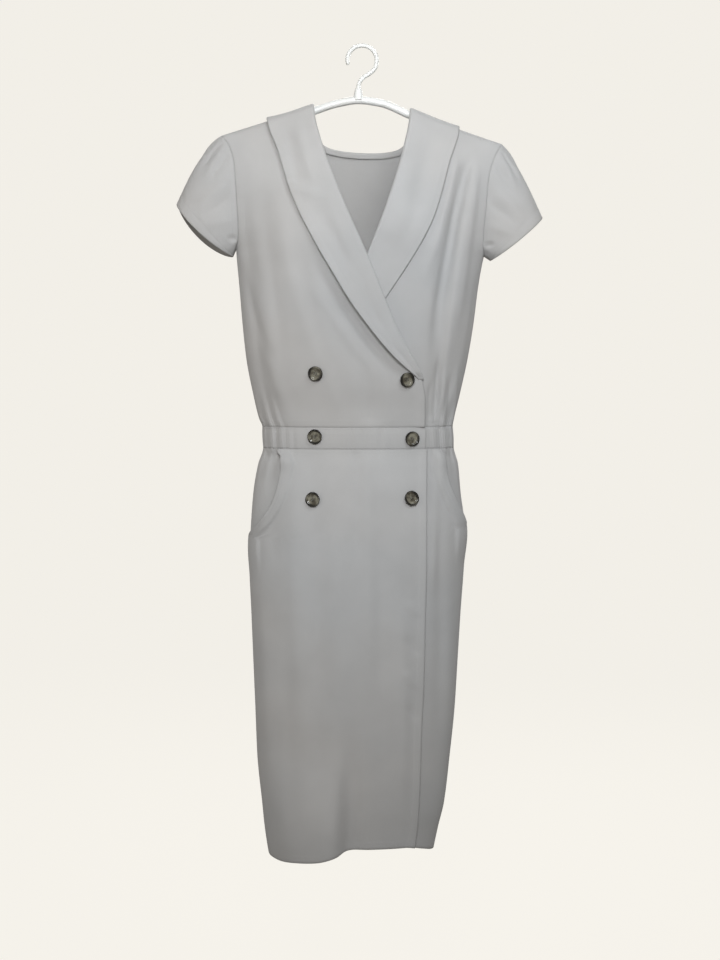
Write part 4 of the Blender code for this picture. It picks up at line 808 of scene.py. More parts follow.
def times(nodes: bpy.types.Nodes, link: object, first: bpy.types.NodeSocket,
          second: bpy.types.NodeSocket) -> bpy.types.NodeSocket:
    """The product of two sockets."""
    made = nodes.new("ShaderNodeMath")
    made.operation = "MULTIPLY"
    link(first, made.inputs[0])
    link(second, made.inputs[1])
    return made.outputs["Value"]


class Shell:
    """A closed cloth sheet between an outer and an inner grid of points, with round edges."""

    def __init__(self, outer: np.ndarray, inner: np.ndarray, closed_round: bool = False) -> None:
        """Keeps the two grids.

        Args:
            outer: Rows and columns of points of the outer face.
            inner: The same of the inner face.
            closed_round: Whether the last column joins the first one.
        """
        self.outer = outer
        self.inner = inner
        self.closed_round = closed_round
        self.points = [outer.reshape(-1, 3), inner.reshape(-1, 3)]
        self.faces: list[np.ndarray] = []
        self.ways: list[np.ndarray] = []
        self.measure()
        self.face_quads()
        self.edge_quads()

    def measure(self) -> None:
        """Lengths across and down the sheet, and each point's distance from its edges."""
        around = self.outer if not self.closed_round else np.concatenate([self.outer, self.outer[:, :1]], axis=1)
        across = np.linalg.norm(np.diff(around, axis=1), axis=2)
        down = np.linalg.norm(np.diff(self.outer, axis=0), axis=2)
        across = np.concatenate([np.zeros((len(across), 1)), np.cumsum(across, axis=1)], axis=1)
        down = np.concatenate([np.zeros((1, down.shape[1])), np.cumsum(down, axis=0)], axis=0)
        if self.closed_round:
            down = np.concatenate([down, down[:, :1]], axis=1)
        middle = across[:, [across.shape[1] // 2]] if not self.closed_round else 0.0
        self.way = np.stack([across - middle, down], axis=-1)
        reach = np.minimum(down, down[-1:] - down)
        if not self.closed_round:
            reach = np.minimum(reach, np.minimum(across, across[:, -1:] - across))
        self.edge = reach[:, : self.outer.shape[1]]

    def face_quads(self) -> None:
        """Quads of the outer and the inner face."""
        rows, columns = self.outer.shape[:2]
        last = columns if self.closed_round else columns - 1
        i, j = np.meshgrid(np.arange(rows - 1), np.arange(last), indexing="ij")
        i, j = i.ravel(), j.ravel()
        k = (j + 1) % columns
        quad = np.stack([i * columns + j, i * columns + k, (i + 1) * columns + k, (i + 1) * columns + j], axis=1)
        way = np.stack([self.way[i, j], self.way[i, j + 1], self.way[i + 1, j + 1], self.way[i + 1, j]], axis=1)
        self.faces += [quad, quad[:, ::-1] + rows * columns]
        self.ways += [way, way[:, ::-1]]

    def border(self) -> list[list[tuple[int, int, int, int]]]:
        """Loops of border points: row, column, and the row and column just inside it."""
        rows, columns = self.outer.shape[:2]
        if self.closed_round:
            top = [(0, j, 1, j) for j in range(columns)]
            low = [(rows - 1, j, rows - 2, j) for j in reversed(range(columns))]
            return [top, low]
        loop = [(0, j, 1, min(max(j, 1), columns - 2)) for j in range(columns - 1)]
        loop += [(i, columns - 1, min(max(i, 1), rows - 2), columns - 2) for i in range(rows - 1)]
        loop += [(rows - 1, j, rows - 2, min(max(j, 1), columns - 2)) for j in range(columns - 1, 0, -1)]
        loop += [(i, 0, min(max(i, 1), rows - 2), 1) for i in range(rows - 1, 0, -1)]
        return [loop]

    def edge_quads(self) -> None:
        """Rounds each edge with a line of points that stands out half a thickness."""
        rows, columns = self.outer.shape[:2]
        inner_start = rows * columns
        start = 2 * inner_start
        for loop in self.border():
            i, j, a, b = np.array(loop).T
            outer, inner = self.outer[i, j], self.inner[i, j]
            out = unit(outer - self.outer[a, b])
            thick = np.linalg.norm(outer - inner, axis=1, keepdims=True)
            self.points.append(0.5 * (outer + inner) + 0.5 * thick * out)
            index = i * columns + j
            ring = start + np.arange(len(loop))
            ahead = np.roll(index, -1)
            ring_ahead = np.roll(ring, -1)
            first = np.stack([index, ring, ring_ahead, ahead], axis=1)
            second = np.stack([ring, index + inner_start, ahead + inner_start, ring_ahead], axis=1)
            way = self.way[i, j]
            way_ahead = np.roll(way, -1, axis=0)
            if self.closed_round:
                way_ahead[-1] = way[-1]
            corners = np.stack([way, way, way_ahead, way_ahead], axis=1)
            self.faces += [first, second]
            self.ways += [corners, corners]
            start += len(loop)

    def build(self, name: str) -> bpy.types.Object:
        """Makes the sheet's object.

        Args:
            name: Name of the piece.

        Returns:
            A mesh object at the origin, with its UV map and its edge attribute.
        """
        points = np.concatenate(self.points) * MILLIMETRE
        faces = np.concatenate(self.faces)
        ways = np.concatenate(self.ways) * MILLIMETRE
        a, b, c, d = (points[faces[:, n]] for n in range(4))
        volume = float((a * np.cross(b, c)).sum() + (a * np.cross(c, d)).sum())
        if volume < 0.0:
            faces, ways = faces[:, ::-1], ways[:, ::-1]
        mesh = bpy.data.meshes.new(name)
        mesh.vertices.add(len(points))
        mesh.vertices.foreach_set("co", points.astype(np.float32).ravel())
        mesh.loops.add(faces.size)
        mesh.loops.foreach_set("vertex_index", faces.astype(np.int32).ravel())
        mesh.polygons.add(len(faces))
        mesh.polygons.foreach_set("loop_start", np.arange(0, faces.size, 4, dtype=np.int32))
        mesh.update(calc_edges=True)
        mesh.polygons.foreach_set("use_smooth", np.ones(len(faces), bool))
        layer = mesh.uv_layers.new(name="cloth_way")
        layer.data.foreach_set("uv", ways.astype(np.float32).ravel())
        edge = mesh.attributes.new("edge", "FLOAT", "POINT")
        values = np.zeros(len(points), np.float32)
        flat = (self.edge * MILLIMETRE).ravel()
        values[: len(flat)] = flat
        values[len(flat): 2 * len(flat)] = flat
        edge.data.foreach_set("value", values)
        mesh.validate()
        item = bpy.data.objects.new(name, mesh)
        bpy.context.scene.collection.objects.link(item)
        return item


@dataclass(frozen=True)
class Cut:
    """The flat piece that a sheet was cut to, in metres and square metres."""

    width: float
    length: float
    area: float
    held: Held = Held.HUNG
    rests_on: tuple[str, ...] = ("hanger",)


@dataclass(frozen=True)
class Stitches:
    """A row of small stitches on a sheet."""

    length: float = 2.5
    gap: float = 0.9
    radius: float = 0.2
    sides: int = 6

    def build(self, name: str, path: np.ndarray, normal: np.ndarray, material: bpy.types.Material) -> bpy.types.Object:
        """Lays stitches along a path.

        Args:
            name: Name of the piece.
            path: Points of the path, in millimetres.
            normal: Outward normal of the cloth at each point.
            material: The thread's material.

        Returns:
            One mesh that holds all the stitches.
        """
        steps = np.linalg.norm(np.diff(path, axis=0), axis=1)
        way = np.concatenate([[0.0], np.cumsum(steps)])
        starts = np.arange(self.gap, way[-1] - self.length, self.length + self.gap)
        ring_turns = np.arange(self.sides) * 2.0 * math.pi / self.sides
        shape = ((0.0, 0.0), (0.18, 0.85), (0.5, 1.0), (0.82, 0.85), (1.0, 0.0))
        points: list[np.ndarray] = []
        faces: list[tuple[int, ...]] = []
        for start in starts:
            base = len(points)
            rings = []
            for share, size in shape:
                at = start + share * self.length
                centre = np.array([np.interp(at, way, path[:, axis]) for axis in range(3)])
                up = unit(np.array([np.interp(at, way, normal[:, axis]) for axis in range(3)]))
                ahead = np.array([np.interp(at + 0.2, way, path[:, axis]) for axis in range(3)]) - centre
                across = unit(np.cross(unit(ahead), up))
                lift = self.radius * (0.35 * math.sin(math.pi * share) - 0.15)
                if size == 0.0:
                    rings.append([len(points)])
                    points.append(centre + up * (lift - 0.1))
                    continue
                ring = []
                for turn in ring_turns:
                    ring.append(len(points))
                    out = across * math.cos(turn) * 1.2 + up * math.sin(turn)
                    points.append(centre + up * lift + out * self.radius * size)
                rings.append(ring)
            for n in range(self.sides):
                m = (n + 1) % self.sides
                faces.append((rings[0][0], rings[1][n], rings[1][m]))
                for before, after in zip(rings[1:-2], rings[2:-1]):
                    faces.append((before[n], after[n], after[m], before[m]))
                faces.append((rings[-2][n], rings[-1][0], rings[-2][m]))
            assert base < len(points)
        mesh = bpy.data.meshes.new(name)
        mesh.from_pydata([tuple(p * MILLIMETRE) for p in points], [], faces)
        shape_mesh = bmesh.new()
        shape_mesh.from_mesh(mesh)
        bmesh.ops.recalc_face_normals(shape_mesh, faces=shape_mesh.faces[:])
        shape_mesh.to_mesh(mesh)
        shape_mesh.free()
        mesh.polygons.foreach_set("use_smooth", np.ones(len(mesh.polygons), bool))
        mesh.materials.append(material)
        item = bpy.data.objects.new(name, mesh)
        bpy.context.scene.collection.objects.link(item)
        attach(item, BODY)
        return item


@dataclass
class ClothPiece:
    """One cut piece of the dress, on the form that its solid has."""

    node: str
    side: Side
    form: DressForm
    cut: Cut
    closed_round: bool = False
    # rows of stitches: "row" or "column", distance from that edge, and whether from its far end
    stitched: tuple[tuple[str, float, bool], ...] = ()

    def grids(self) -> tuple[np.ndarray, np.ndarray]:
        """The outer and the inner grid of points."""
        raise NotImplementedError

    def build(self, cloth: bpy.types.Material, thread: bpy.types.Material) -> bpy.types.Object:
        """Makes the piece and dresses it.

        Args:
            cloth: Material of the cloth.
            thread: Material of its thread.

        Returns:
            The sheet's object.
        """
        outer, inner = self.grids()
        shell = Shell(outer, inner, self.closed_round)
        item = shell.build(self.node + "_cloth")
        item.data.materials.append(cloth)
        rows = [self.stitch_row(shell, number, *row, thread) for number, row in enumerate(self.stitched)]
        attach(item, BODY)
        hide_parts(self.node)
        log.info("%s: %d faces", item.name, len(item.data.polygons))
        return item

    def stitch_row(self, shell: Shell, number: int, way: str, inset: float, far: bool,
                   thread: bpy.types.Material) -> bpy.types.Object:
        """One row of stitches along an edge.

        Args:
            shell: The sheet.
            number: Number of the row, for its name.
            way: "row" along the top or hem, "column" along a side.
            inset: Distance of the stitches from the edge.
            far: Whether the edge is the hem, or the far side.
            thread: The thread's material.

        Returns:
            The stitches' object.
        """
        normal = unit(shell.outer - shell.inner)
        outer = shell.outer
        if way == "column":
            outer, normal = outer.swapaxes(0, 1), normal.swapaxes(0, 1)
        if far:
            outer, normal = outer[::-1], normal[::-1]
        reach = np.cumsum(np.linalg.norm(np.diff(outer, axis=0), axis=2), axis=0)
        reach = np.concatenate([np.zeros((1, reach.shape[1])), reach], axis=0)
        path, normals = [], []
        for j in range(outer.shape[1]):
            path.append([np.interp(inset, reach[:, j], outer[:, j, axis]) for axis in range(3)])
            normals.append([np.interp(inset, reach[:, j], normal[:, j, axis]) for axis in range(3)])
        return Stitches().build(f"{self.node}_stitches_{number}", np.array(path), np.array(normals), thread)


def shoulder_drops(underarm: float, length: float) -> tuple[np.ndarray, int]:
    """Drops of a bodice panel's rows below the shoulder seam.

    Args:
        underarm: Drop of the underarm.
        length: Drop of the waist.

    Returns:
        The drops, close together over the bar and towards the underarm, and how many lie above or
        at the underarm.
    """
    over_bar = 26.0 * np.linspace(0.0, 1.0, 15) ** 2
    above = np.linspace(26.0, underarm - 27.0, 35)[1:]
    beside = underarm - 27.0 * np.linspace(1.0, 0.0, 22)[1:] ** 1.5
    below = underarm + (length - underarm) * np.linspace(0.0, 1.0, 76)[1:]
    return np.concatenate([over_bar, above, beside, below]), len(over_bar) + len(above) + len(beside)


@dataclass
class BodicePiece(ClothPiece):
    """What the fronts and the back of the bodice share."""

    underarm_drop: float = 155.0
    usual_length: float = 400.0
    ease: tuple[float, float] = (-215.0, -400.0)
    ease_fade: float = 11.0
    underarm_round: float = 12.0
    armhole_right: Table = (
        (-118.0, -189.5), (-134.0, -178.0), (-158.0, -172.0), (-199.0, -169.0), (-240.0, -167.0),
        (-262.0, -167.6), (-273.0, -171.6),
    )
    armhole_left: Table = (
        (-129.0, 188.5), (-145.0, 179.8), (-174.0, 170.6), (-217.0, 166.9), (-250.0, 164.0),
        (-268.0, 163.4), (-283.0, 165.8),
    )

    def scaled_drop(self, drop: np.ndarray, length: float) -> np.ndarray:
        """Drop below the shoulder for a column of another length."""
        return drop + (length - self.usual_length) * (drop / self.usual_length) ** 2

    def shoulder_top(self, side: Side) -> float:
        """Height of a shoulder's point."""
        return float(self.form.shoulder_height(self.form.shoulder_points[0 if side is Side.RIGHT else 1]))

    def armhole(self, side: Side) -> SmoothLine:
        """The armhole's line on a side."""
        return SmoothLine(self.armhole_right if side is Side.RIGHT else self.armhole_left)

    def eased_turn(self, side: Side, z: np.ndarray) -> np.ndarray:
        """Turn, without its sign, that the inner columns take for the armhole and the side seam."""
        start, end = self.ease
        high = np.maximum(z, start)
        at_armhole = np.abs(self.form.turn_at(self.armhole(side)(high), high))
        return at_armhole + (QUARTER_TURN - at_armhole) * smooth_step(-start, -end, -z)

    def aside(self, side: Side, drops: np.ndarray) -> np.ndarray:
        """How far each row's end lies beyond the eased turn, at the armhole or the side seam."""
        top = self.shoulder_top(side)
        length = top - self.form.bodice_end
        z = top - self.scaled_drop(drops, length)
        underarm = top - float(self.scaled_drop(self.underarm_drop, length))
        above = np.maximum(z, underarm + self.underarm_round)
        at_armhole = np.abs(self.form.turn_at(self.armhole(side)(above), above))
        share = np.sqrt(np.clip((z - underarm) / self.underarm_round, 0.0, 1.0))
        return QUARTER_TURN + (at_armhole - QUARTER_TURN) * share - self.eased_turn(side, z)


@dataclass
class FrontBodice(BodicePiece):
    """One front of the bodice: armhole, side seam, waist, roll line and shoulder seam."""

    columns: int = 128
    edge_stand: float = 1.8
    edge_reach: float = 16.0

    def roll(self) -> SmoothLine:
        """The line on which the lapel turns over."""
        return SmoothLine(ROLL_RIGHT if self.side is Side.RIGHT else ROLL_LEFT)

    def grids(self) -> tuple[np.ndarray, np.ndarray]:
        """The outer and the inner grid of points."""
        form = self.form
        roll = self.roll()
        way = float(self.side.value)
        drops, _ = shoulder_drops(self.underarm_drop, self.usual_length)
        even = np.linspace(0.0, 1.0, self.columns)
        share = even * (0.5 + 0.5 * even)

        def turn_of(z: np.ndarray) -> np.ndarray:
            """Turns of all columns at their own heights."""
            side = way * self.eased_turn(self.side, z)
            return side + (form.turn_at(roll(z), z) - side) * share

        top = np.full(self.columns, self.shoulder_top(self.side))
        for _ in range(16):
            top = form.shoulder_height(form.x_at(turn_of(top), top))
        top[0] = self.shoulder_top(self.side)
        heights = top - self.scaled_drop(drops[:, None], top - form.bodice_end)
        aside = way * self.aside(self.side, drops)[:, None] * (1.0 - share) ** self.ease_fade
        turns = turn_of(heights) + aside
        x = form.x_at(turns, heights)
        offset = form.lap(x, heights) if self.side is Side.RIGHT else 0.0 * x
        if self.side is Side.RIGHT:
            near = 1.0 - smooth_step(0.0, self.edge_reach, x[:, -1:] - x)
            offset = offset + self.edge_stand * near * smooth_step(456.0, 480.0, -heights)
        return form.walls(turns, heights, offset, self.side)


@dataclass
class BackBodice(BodicePiece):
    """The back of the bodice, with its scooped neck."""

    beside: int = 62
    neck_columns: int = 92
    # from a shoulder seam to the middle: half width, drop below the shoulder seams
    neck: Table = (
        (68.9, 0.0), (68.8, 0.9), (68.5, 3.4), (68.1, 7.0), (67.4, 14.0), (65.6, 28.0), (59.5, 43.0),
        (44.0, 52.5), (21.0, 55.8), (0.0, 56.5),
    )

    def neck_edge(self, count: int) -> tuple[np.ndarray, np.ndarray]:
        """Points of the neck's edge, from the right side to the left.

        Args:
            count: Number of points.

        Returns:
            Their x and z.
        """
        half = np.array([row[0] for row in self.neck])
        drop = np.array([row[1] for row in self.neck])
        x = np.concatenate([half, -half[-2::-1]])
        low = np.concatenate([drop, drop[-2::-1]])
        way = np.concatenate([[0.0], np.cumsum(np.hypot(np.diff(x), np.diff(low)))])
        even = np.linspace(0.0, way[-1], count)
        x = SmoothLine(tuple(zip(way, x)))(even)
        low = SmoothLine(tuple(zip(way, low)))(even)
        seam_right = float(self.form.shoulder_height(half[0]))
        seam_left = float(self.form.shoulder_height(-half[0]))
        blend = (x + half[0]) / (2.0 * half[0])
        return x, seam_left + (seam_right - seam_left) * blend - low

    def turn_of(self, share: np.ndarray, z: np.ndarray) -> np.ndarray:
        """Turn at a share of the way from the left side seam to the right one."""
        start = math.pi - self.eased_turn(Side.LEFT, z)
        end = math.pi + self.eased_turn(Side.RIGHT, z)
        return start + (end - start) * share

    def share_at(self, x: np.ndarray, z: np.ndarray) -> np.ndarray:
        """Share across the back of the points with this x and z."""
        low, high = np.zeros_like(x), np.ones_like(x)
        for _ in range(50):
            guess = 0.5 * (low + high)
            beyond = self.form.x_at(self.turn_of(guess, z), z) > x
            low, high = np.where(beyond, guess, low), np.where(beyond, high, guess)
        return guess

    def grids(self) -> tuple[np.ndarray, np.ndarray]:
        """The outer and the inner grid of points."""
        form = self.form
        neck_x, neck_z = self.neck_edge(self.neck_columns)
        neck_share = self.share_at(neck_x, neck_z)
        even = np.arange(self.beside) / self.beside
        crowded = even * (0.4 + 0.6 * even)
        first = neck_share[0] * crowded
        last = 1.0 - (1.0 - neck_share[-1]) * crowded[::-1]
        share = np.concatenate([first, neck_share, last])
        top = np.full(len(share), -100.0)
        for _ in range(40):
            top = 0.5 * (top + form.shoulder_height(form.x_at(self.turn_of(share, top), top)))
        top[self.beside: self.beside + self.neck_columns] = neck_z
        drops, _ = shoulder_drops(self.underarm_drop, self.usual_length)
        even = np.linspace(0.0, 1.0, len(share))
        settle = smooth_step(0.0, self.underarm_drop - 12.0, drops)[:, None]
        heights = top - self.scaled_drop(drops[:, None], top - form.bodice_end)
        across = share + (even - share) * settle
        left = self.aside(Side.LEFT, drops)[:, None] * (1.0 - across) ** self.ease_fade
        right = self.aside(Side.RIGHT, drops)[:, None] * across ** self.ease_fade
        turns = self.turn_of(across, heights) - left + right
        return form.walls(turns, heights, 0.0 * turns, Side.BACK)


@dataclass
class NeckBinding(ClothPiece):
    """A narrow binding folded over the back neck edge."""

    back: BackBodice | None = None
    width: float = 7.0
    thickness: float = 1.0
    gap: float = 1.0
    count: int = 110
    closed_round: bool = True

    def grids(self) -> tuple[np.ndarray, np.ndarray]:
        """Not used: the binding is built from its section loops."""
        raise NotImplementedError

    def section_loops(self) -> np.ndarray:
        """Closed sections along the neck's edge: the piece as a swept band."""
        form = self.form
        x, z = self.back.neck_edge(self.count)
        along = unit(np.stack([np.gradient(x), np.gradient(z)], axis=-1))
        drop = form.shoulder_height(x) - z
        under = smooth_step(9.0, 15.0, drop)
        leg = smooth_step(14.0, 26.0, drop)
        near, far = form.seam_gap, form.seam_gap + self.thickness
        none = np.zeros_like(leg)
        low = -0.4 * form.solid_cloth - (0.6 * form.solid_cloth + self.gap) * under
        low_far = -form.solid_cloth - (self.gap + self.thickness) * under
        end = -near - 0.1 + (self.width + near + 0.1) * leg
        high = self.gap + self.thickness
        section = (
            (self.width + none, self.gap + none),
            (0.5 * self.width + none, self.gap + 0.1 + none),
            (-near + none, self.gap + none),
            (-near + none, low),
            (0.5 * (end - near), low),
            (end, low),
            (end, low_far),
            (0.5 * (end - near), low_far - 0.1 * under),
            (-near - 0.4 * self.thickness + none, low_far),
            (-far + none, 0.5 * low_far),
            (-far + none, 0.4 * near + none),
            (-near - 0.4 * self.thickness + none, high + none),
            (0.5 * self.width + none, high + 0.15 + none),
            (self.width - 0.4 + none, high + none),
        )
        loops = []
        for reach, height in section:
            at_x = x - along[:, 1] * reach
            at_z = np.minimum(z + along[:, 0] * reach, form.shoulder_height(at_x) - 1e-4)
            at_z[[0, -1]] = form.shoulder_height(at_x[[0, -1]]) - 1e-4
            point, normal = form.face(math.pi - form.turn_at(at_x, at_z), at_z)
            loops.append(point + normal * height[:, None] + np.array([0.0, 0.5 * form.seam_gap, 0.0]))
        return np.stack(loops, axis=1)

    def build(self, cloth: bpy.types.Material, thread: bpy.types.Material) -> bpy.types.Object:
        """Makes the binding and dresses it.

        Args:
            cloth: Material of the cloth.
            thread: Not used.

        Returns:
            The binding's object.
        """
        loops = self.section_loops() * MILLIMETRE
        rows, columns = loops.shape[:2]
        faces = []
        for i in range(rows - 1):
            for j in range(columns):
                k = (j + 1) % columns
                faces.append((i * columns + j, i * columns + k, (i + 1) * columns + k, (i + 1) * columns + j))
        faces.append(tuple(reversed(range(columns))))
        faces.append(tuple((rows - 1) * columns + j for j in range(columns)))
        mesh = bpy.data.meshes.new(self.node + "_cloth")
        mesh.from_pydata([tuple(p) for p in loops.reshape(-1, 3)], [], faces)
        shape = bmesh.new()
        shape.from_mesh(mesh)
        bmesh.ops.triangulate(shape, faces=[f for f in shape.faces if len(f.verts) > 4], ngon_method="EAR_CLIP")
        bmesh.ops.recalc_face_normals(shape, faces=shape.faces[:])
        way = shape.loops.layers.uv.new("cloth_way")
        step = np.linalg.norm(np.diff(loops.mean(axis=1), axis=0), axis=1)
        run = np.concatenate([[0.0], np.cumsum(step)])
        for face in shape.faces:
            for loop in face.loops:
                row, column = divmod(loop.vert.index, columns)
                loop[way].uv = (run[row], 0.0022 * column)
        shape.to_mesh(mesh)
        shape.free()
        edge = mesh.attributes.new("edge", "FLOAT", "POINT")
        edge.data.foreach_set("value", np.full(len(mesh.vertices), 0.004, np.float32))
        mesh.polygons.foreach_set("use_smooth", np.ones(len(mesh.polygons), bool))
        mesh.materials.append(cloth)
        item = bpy.data.objects.new(mesh.name, mesh)
        bpy.context.scene.collection.objects.link(item)
        rounded = item.modifiers.new("rounded", "SUBSURF")
        rounded.levels = 1
        rounded.render_levels = 1
        apply_modifiers(item)
        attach(item, BODY)
        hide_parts(self.node)
        log.info("%s: %d faces", item.name, len(item.data.polygons))
        return item


@dataclass
class Lapel(ClothPiece):
    """A shawl lapel from the shoulder seam down to its break point."""

    front: FrontBodice | None = None
    thickness: float = 1.7
    rows: int = 170
    columns: int = 44
    tip: float = -446.0
    length: float = 355.0
    narrowest: float = 4.5
    sewn_drop: float = 30.0
    puff: float = 2.6
    edge_lift: float = 2.6
    left_edge_lift: float = 1.4
    stand: float = 6.2
    covered: tuple[float, float] = (-246.0, -272.0)
    tip_sink: float = 2.6
    tip_reach: float = 11.0

    def section(self, width: float, lift: float, stand: float) -> tuple[np.ndarray, np.ndarray]:
        """Middle line of the lapel's section: distance from the roll line, height.

        Args:
            width: Width of the lapel there.
            lift: How high it puffs beside the roll line.
            stand: How far its edge stands off.

        Returns:
            Evenly spaced points of the line.
        """
        flat = 0.5 * self.form.lapel_cloth + self.form.lapel_gap
        short = min(1.0, width / 26.0)
        d = np.array([-2.1, -2.6, -1.6, 1.6 * short, 0.22 * width + 0.6, 0.48 * width, 0.74 * width, width])
        d[2:] = np.maximum.accumulate(d[2:])
        o = np.array([-0.7, 0.5 + 0.4 * lift, flat + 0.75 * lift - 0.2, flat + lift, flat + 0.85 * lift,
                      flat + 0.45 * lift, flat + 0.15 * lift + 0.35 * stand, flat + stand])
        way = np.concatenate([[0.0], np.cumsum(np.hypot(np.diff(d), np.diff(o)) + 1e-6)])
        even = np.concatenate([np.linspace(0.0, way[3], 12)[:-1],
                               np.linspace(way[3], way[-1], self.columns - 11)])
        return SmoothLine(tuple(zip(way, d)))(even), SmoothLine(tuple(zip(way, o)))(even)

    def grids(self) -> tuple[np.ndarray, np.ndarray]:
        """The outer and the inner grid of points."""
        form = self.form
        right = self.side is Side.RIGHT
        roll = self.front.roll()
        edge = SmoothLine(LAPEL_EDGE_RIGHT if right else LAPEL_EDGE_LEFT)
        start = float(form.shoulder_height(roll(-86.0)))
        drops = np.concatenate([26.0 * np.linspace(0.0, 1.0, 16) ** 2,
                                np.linspace(26.0, self.length, self.rows - 15)[1:]])
        cover_start, cover_end = self.covered
        outers, inners = [], []
        for drop in drops:
            base_z = start - drop * (start - self.tip) / self.length
            roll_x = float(roll(base_z))
            share = (1.0 - drop / self.length) ** 2
            edge_x = float(edge(base_z))
            for _ in range(5):
                fall = float(form.shoulder_height(edge_x) - form.shoulder_height(roll_x)) * share
                edge_x = float(edge(base_z + fall))
            width = max(abs(edge_x - roll_x), self.narrowest)
            shown = 1.0 if right else float(1.0 - smooth_step(-cover_start, -cover_end, -base_z))
            sewn = float(smooth_step(-8.0, self.sewn_drop, drop))
            lift = self.puff * shown * min(1.0, width / 30.0) * sewn
            low_part = float(smooth_step(215.0, 345.0, -base_z)) * min(1.0, width / 25.0)
            stand = self.left_edge_lift * shown
            if right:
                stand = (self.edge_lift + self.stand * low_part) * min(1.0, width / 20.0)
            d, o = self.section(width, lift, stand)
            o = o + self.relief(d / width, base_z) * shown * sewn
            o = o - self.tip_sink * float(smooth_step(self.length - self.tip_reach, self.length, drop))
            tangent = unit(np.stack([np.gradient(d), np.gradient(o)], axis=-1))
            normal = np.stack([-tangent[:, 1], tangent[:, 0]], axis=-1)
            for sign, keep in ((1.0, outers), (-1.0, inners)):
                dd = d + sign * 0.5 * self.thickness * normal[:, 0]
                oo = o + sign * 0.5 * self.thickness * normal[:, 1]
                x = roll_x + self.side.value * dd
                z = base_z + (form.shoulder_height(x) - form.shoulder_height(roll_x)) * share
                z = np.minimum(z, form.shoulder_height(x) - 1e-4)
                turn = form.turn_at(x, z)
                point, out = form.face(turn, z, folded=False)
                offset = form.lap(x, z) if right else form.fine_relief(turn, z) * (1.0 - shown)
                point = point + np.array([0.0, -0.5 * form.seam_gap, 0.0])
                keep.append(point + out * (offset + oo)[:, None])
        return np.array(outers), np.array(inners)

    def relief(self, across: np.ndarray, z: float) -> np.ndarray:
        """Soft creases of a lapel, as a height.

        Args:
            across: Share of the way from the roll line to the edge.
            z: Height on the dress.

        Returns:
            Outward depth at each point.
        """
        total = np.zeros_like(across)
        creases = self.creases_right if self.side is Side.RIGHT else self.creases_left
        for top_z, low_z, top_share, low_share, depth, half in creases:
            along = (z - top_z) / (low_z - top_z)
            if 0.0 < along < 1.0:
                line = top_share + (low_share - top_share) * along
                total += depth * math.sin(math.pi * along) * np.exp(-(((across - line) / half) ** 2))
        return total

    # creases: top height, low height, share across at the top and at the low end, depth, half width
    creases_right: Table = (
        (-84.0, -200.0, 0.66, 0.78, -2.6, 0.16),
        (-84.0, -200.0, 0.36, 0.45, 2.2, 0.12),
        (-172.0, -208.0, 1.0, 0.45, 2.6, 0.22),
        (-196.0, -330.0, 0.62, 0.4, -2.2, 0.18),
        (-226.0, -370.0, 0.3, 0.62, 1.8, 0.16),
        (-370.0, -410.0, 0.55, 0.5, 1.4, 0.2),
    )
    creases_left: Table = (
        (-92.0, -230.0, 0.55, 0.42, -2.2, 0.2),
        (-100.0, -270.0, 0.86, 0.78, 1.6, 0.14),
        (-150.0, -300.0, 0.25, 0.5, 1.6, 0.16),
    )


